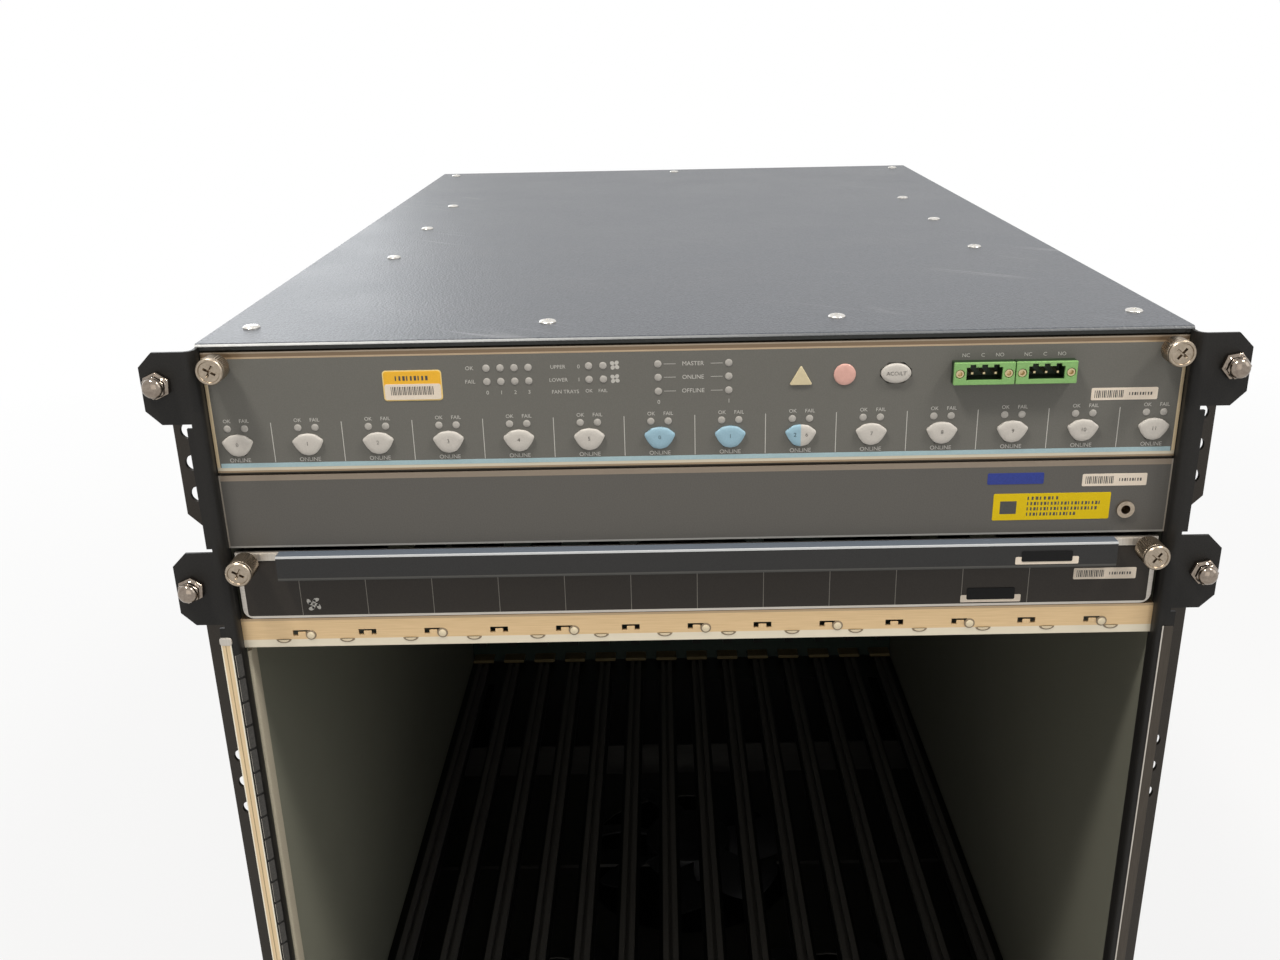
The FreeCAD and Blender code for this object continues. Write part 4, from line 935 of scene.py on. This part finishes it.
stuck_label("ground_note", (0.1380, 0.1922), (0.6140, 0.6272), label_yellow, "panel_paint", note_print)
stuck_label("display_label", (0.1779, 0.2077), (0.6716, 0.6773), label_white, "panel_overlay", serial)
amber_bars = code_bars(0.2, 0.8, 0.68, 0.84, 9)
asset_bars = code_bars(0.11, 0.88, 0.30, 0.84, 26)
stuck_label("asset_border", (-0.1391, -0.1127), (0.6773, 0.6914), label_border, "panel_overlay",
            corner=0.0016)
stuck_label("asset_label", (-0.1386, -0.1132), (0.6778, 0.6909), label_amber, "panel_overlay", amber_bars,
            front - 0.0001, corner=0.0012)
stuck_label("asset_code", (-0.1385, -0.1133), (0.6779, 0.6851), label_white, "panel_overlay", asset_bars,
            front - 0.00022, corner=0.0010)

# Fan trays: plated pans that slide out on the runners, painted near black as shade. The front is bare
# steel under a near-black overlay with thin slot lines and a fan sign, and its upper edge is folded into
# a dark finger lip with painted light on its top and edges.
def thicken(piece, thickness, offset):
    """Give a sheet its thickness."""
    sheet = piece.modifiers.new("sheet", "SOLIDIFY")
    sheet.thickness = thickness
    sheet.offset = offset
    alone(piece)
    bpy.ops.object.modifier_apply(modifier=sheet.name)


brushed = (0.05, 1, 1)
tray_steel = coated("tray_steel", (0.6, 0.56, 0.5), (0.48, 0.44, 0.39), (0.3, 0.45), 1300,
                    metal=0.75, stretch=brushed)
# Painted shade: the plated pans are painted near black.
pan_steel_in_shade = coated("pan_steel_in_shade", (0.05, 0.048, 0.043), (0.036, 0.034, 0.03), (0.4, 0.55), 1300,
                   metal=0.4, stretch=brushed)
tray_black = coated("tray_black", (0.022, 0.018, 0.0145), (0.03, 0.025, 0.02), (0.42, 0.55), gloss=0.25)
line_grey = coated("line_grey", (0.2, 0.185, 0.165), (0.16, 0.15, 0.135), (0.5, 0.6),
                   depth=0.00001, gloss=0.3)
bent_blade = ((0.0, 0.18, 0.115, 1.7, 0.0), (0.12, 0.36, 0.14, 1.6, 1.05))
paint_depth = 0.0002
overlay_front = front - paint_depth
line_places = [-0.1885 + 0.03149 * step for step in range(12)]
for tray in ("upper", "lower"):
    body = f"{tray}_tray"
    clad(tray_steel, f"{tray}_tray_front")
    clad(pan_steel_in_shade, f"{tray}_fan_tray")
    low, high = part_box(f"{tray}_tray_front")
    # The steel at the lip's lower edge takes the grey of the painted highlight along that edge.
    band(tray_steel, (0.068, 0.067, 0.062), Y=(low.y - 0.001, low.y + 0.003),
         Z=(high.z - 0.0150, high.z - 0.0100))
    skin = plate(f"{tray}_tray_overlay", (low.x + 0.0022, overlay_front, low.z + 0.0013),
                 (high.x - 0.0022, front, high.z - 0.0040), 0.0014, 0.00006)
    fix(skin, tray_black, "tray_paint", body=body)
    lip_skin = plate(f"{tray}_lip_skin", (low.x + 0.0212, low.y - paint_depth, high.z - 0.0112),
                     (high.x - 0.0212, low.y + 0.0064, high.z + paint_depth))
    pick(lip_skin, "FACE", lambda corners: all(point.y > low.y + 0.006 for point in corners)
         or all(point.z < high.z - 0.011 for point in corners))
    bpy.ops.mesh.delete(type="FACE")
    bpy.ops.object.mode_set(mode="OBJECT")
    thicken(lip_skin, paint_depth, 1)
    lip_paint = coated(f"{tray}_lip_paint", (0.0165, 0.0165, 0.0165), (0.024, 0.0235, 0.023), (0.36, 0.48),
                       gloss=0.3)
    # Painted light on the lip: its top is lighter and bluer, a bright line along its front fold is partly worn
    # paint and partly a painted highlight, and a painted highlight runs along its lower edge.
    lip_top = (high.z - 0.0006, high.z + 0.001)
    band(lip_paint, (0.1, 0.118, 0.146), Z=lip_top)
    band(lip_paint, (0.62, 0.64, 0.66), Y=(low.y - 0.001, low.y + 0.0003), Z=lip_top)
    band(lip_paint, (0.072, 0.071, 0.066), Z=(high.z - 0.0130, high.z - 0.0106))
    fix(lip_skin, lip_paint, "tray_paint", body=body)
    tabs = []
    for side in sides:
        left, right = sorted((side * 0.1968, side * 0.2160))
        tabs.append(plate("tab", (left, front - 0.0005, high.z - 0.0042),
                          (right, front, high.z - 0.0004), 0.0018, 0.0002))
    fix(join(f"{tray}_tray_tabs", tabs), bare_steel, "tray_steel", body=body)
    lines = [bar(x - 0.00018, x + 0.00018, low.z + 0.0014, high.z - 0.0120, overlay_front)
             for x in line_places]
    fix(join(f"{tray}_slot_lines", lines), line_grey, "tray_paint", body=body)
    sign = join(f"{tray}_fan_sign",
                fan_sign(-0.1828, low.z + 0.0072, 0.0068, overlay_front, 0.2, bent_blade))
    fix(sign, pale_ink, "tray_paint", body=body)
lip_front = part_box("upper_tray_front")[0].y - 0.0004
field_black = coated("field_black", (0.004, 0.004, 0.004), (0.007, 0.007, 0.007), (0.5, 0.6), gloss=0.15)
for name, x0, x1, z0, z1, y in (("lip_label", 0.1486, 0.1781, 0.5944, 0.6011, lip_front),
                                ("tray_label", 0.1261, 0.1548, 0.5720, 0.5795, overlay_front)):
    stuck_label(name, (x0, x1), (z0, z0 + 0.0038), label_white, "tray_paint", y=y, body="upper_tray")
    field = plate(f"{name}_field", (x0 + 0.0028, y - 0.0003, z0 + 0.0014),
                  (x1 - 0.0030, y, z1), 0.0008, 0.0001)
    fix(field, field_black, "tray_paint", body="upper_tray")
stuck_label("tray_code", (0.1789, 0.2085), (0.5831, 0.5889), label_white, "tray_paint", serial, overlay_front,
            "upper_tray")

# Fan rotors: black moulded hubs, each with seven swept and twisted blades, which turn on the bar that
# crosses their opening. The hub's rim is rounded and its middle is dished.
hub_radius, hub_height = 0.036, 0.022
blade_root, blade_reach = hub_radius - 0.003, 0.0865
blade_count = 7
dish = hub_height - 0.0008
hub = turned("hub", 56, ((hub_radius - 0.0010, 0.0), (hub_radius, 0.0010), (hub_radius, hub_height - 0.0034),
                         (hub_radius - 0.0010, hub_height - 0.0012), (hub_radius - 0.0036, hub_height),
                         (0.0175, hub_height), (0.0160, dish), (0.0040, dish)))
bpy.ops.mesh.primitive_grid_add(x_subdivisions=10, y_subdivisions=8, size=1)
blade = settle("blade")
for point in blade.data.vertices:
    outwards, across = point.co.x + 0.5, point.co.y
    chord = 0.029 + 0.011 * outwards
    pitch = math.radians(36 - 14 * outwards)
    hollow = 0.0022 * (1 - 4 * across * across)
    rounding = 0.006 * outwards * abs(2 * across) ** 3
    radius = blade_root + (blade_reach - blade_root) * outwards - rounding
    aside = across * chord * math.cos(pitch) - hollow * math.sin(pitch)
    sweep = 0.22 * outwards * outwards + aside / radius
    height = hub_height / 2 + across * chord * math.sin(pitch) + hollow * math.cos(pitch)
    point.co = (radius * math.cos(sweep), radius * math.sin(sweep), height)
thicken(blade, 0.0016, 0)
blades = repeat(blade, [spin(2 * math.pi * step / blade_count, "Z") for step in range(blade_count)])
rotor = join("rotor", [hub] + blades)
smooth(rotor)
fan_black = coated("fan_black", (0.016, 0.016, 0.017), (0.025, 0.025, 0.026), (0.38, 0.5), 900, 0.00003,
                   gloss=0.4)
for joint in frame["joints"]:
    if joint["name"].endswith("_spin"):
        fan = joint["child"]
        node = fan.replace("_fan_", "_fan_rotor_")
        axis_x, axis_y, _ = joint["pos_m"]
        moulding = copy_to(rotor, at(axis_x, axis_y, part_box(node)[0].z))
        moulding.name = f"{fan}_moulding"
        fix(moulding, fan_black, "fan_plastic", node, body=fan)
bpy.data.objects.remove(rotor)

# Power supplies and air intake: plated steel boxes that plug in from the rear, each with a bail handle
# and a black inlet socket around three flat pins, and the black slotted front of the base.
supply_metal = coated("supply_metal", (0.27, 0.265, 0.255), (0.21, 0.206, 0.198), (0.4, 0.52), 1200,
                      metal=0.7, stretch=brushed)
supplies = [f"power_supply_{number}" for number in range(1, 5)]
clad(supply_metal, *supplies)
clad(black_paint, "intake_grille")
inlet_shell = plate("inlet_shell", (-0.0149, -0.0006, -0.0109), (0.0149, 0.0138, 0.0109), 0.0014, 0.0004)
cut_out(inlet_shell, [plate("inlet_hollow", (-0.0118, -0.0020, -0.0078), (0.0118, 0.0116, 0.0078), 0.0030)])
inlet_blades = join("inlet_blades", [
    plate("pin", (x - 0.0008, 0.0022, z - 0.0026), (x + 0.0008, 0.0118, z + 0.0026), 0.0003, 0.0004)
    for x, z in ((-0.007, -0.001), (0, 0.002), (0.007, -0.001))])
inlet_set_back, inlet_rise = 0.030, 0.0388
for supply in supplies:
    low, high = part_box(supply)
    place = at((low.x + high.x) / 2, high.y - inlet_set_back, low.z + inlet_rise) @ spin(math.pi, "Z")
    for pattern, finish, slot in ((inlet_shell, connector_black, "connector_plastic"),
                                  (inlet_blades, nickel, "nickel")):
        piece = copy_to(pattern, place)
        piece.name = f"{supply}_{pattern.name}"
        fix(piece, finish, slot, body=supply)
for pattern in (inlet_shell, inlet_blades):
    bpy.data.objects.remove(pattern)
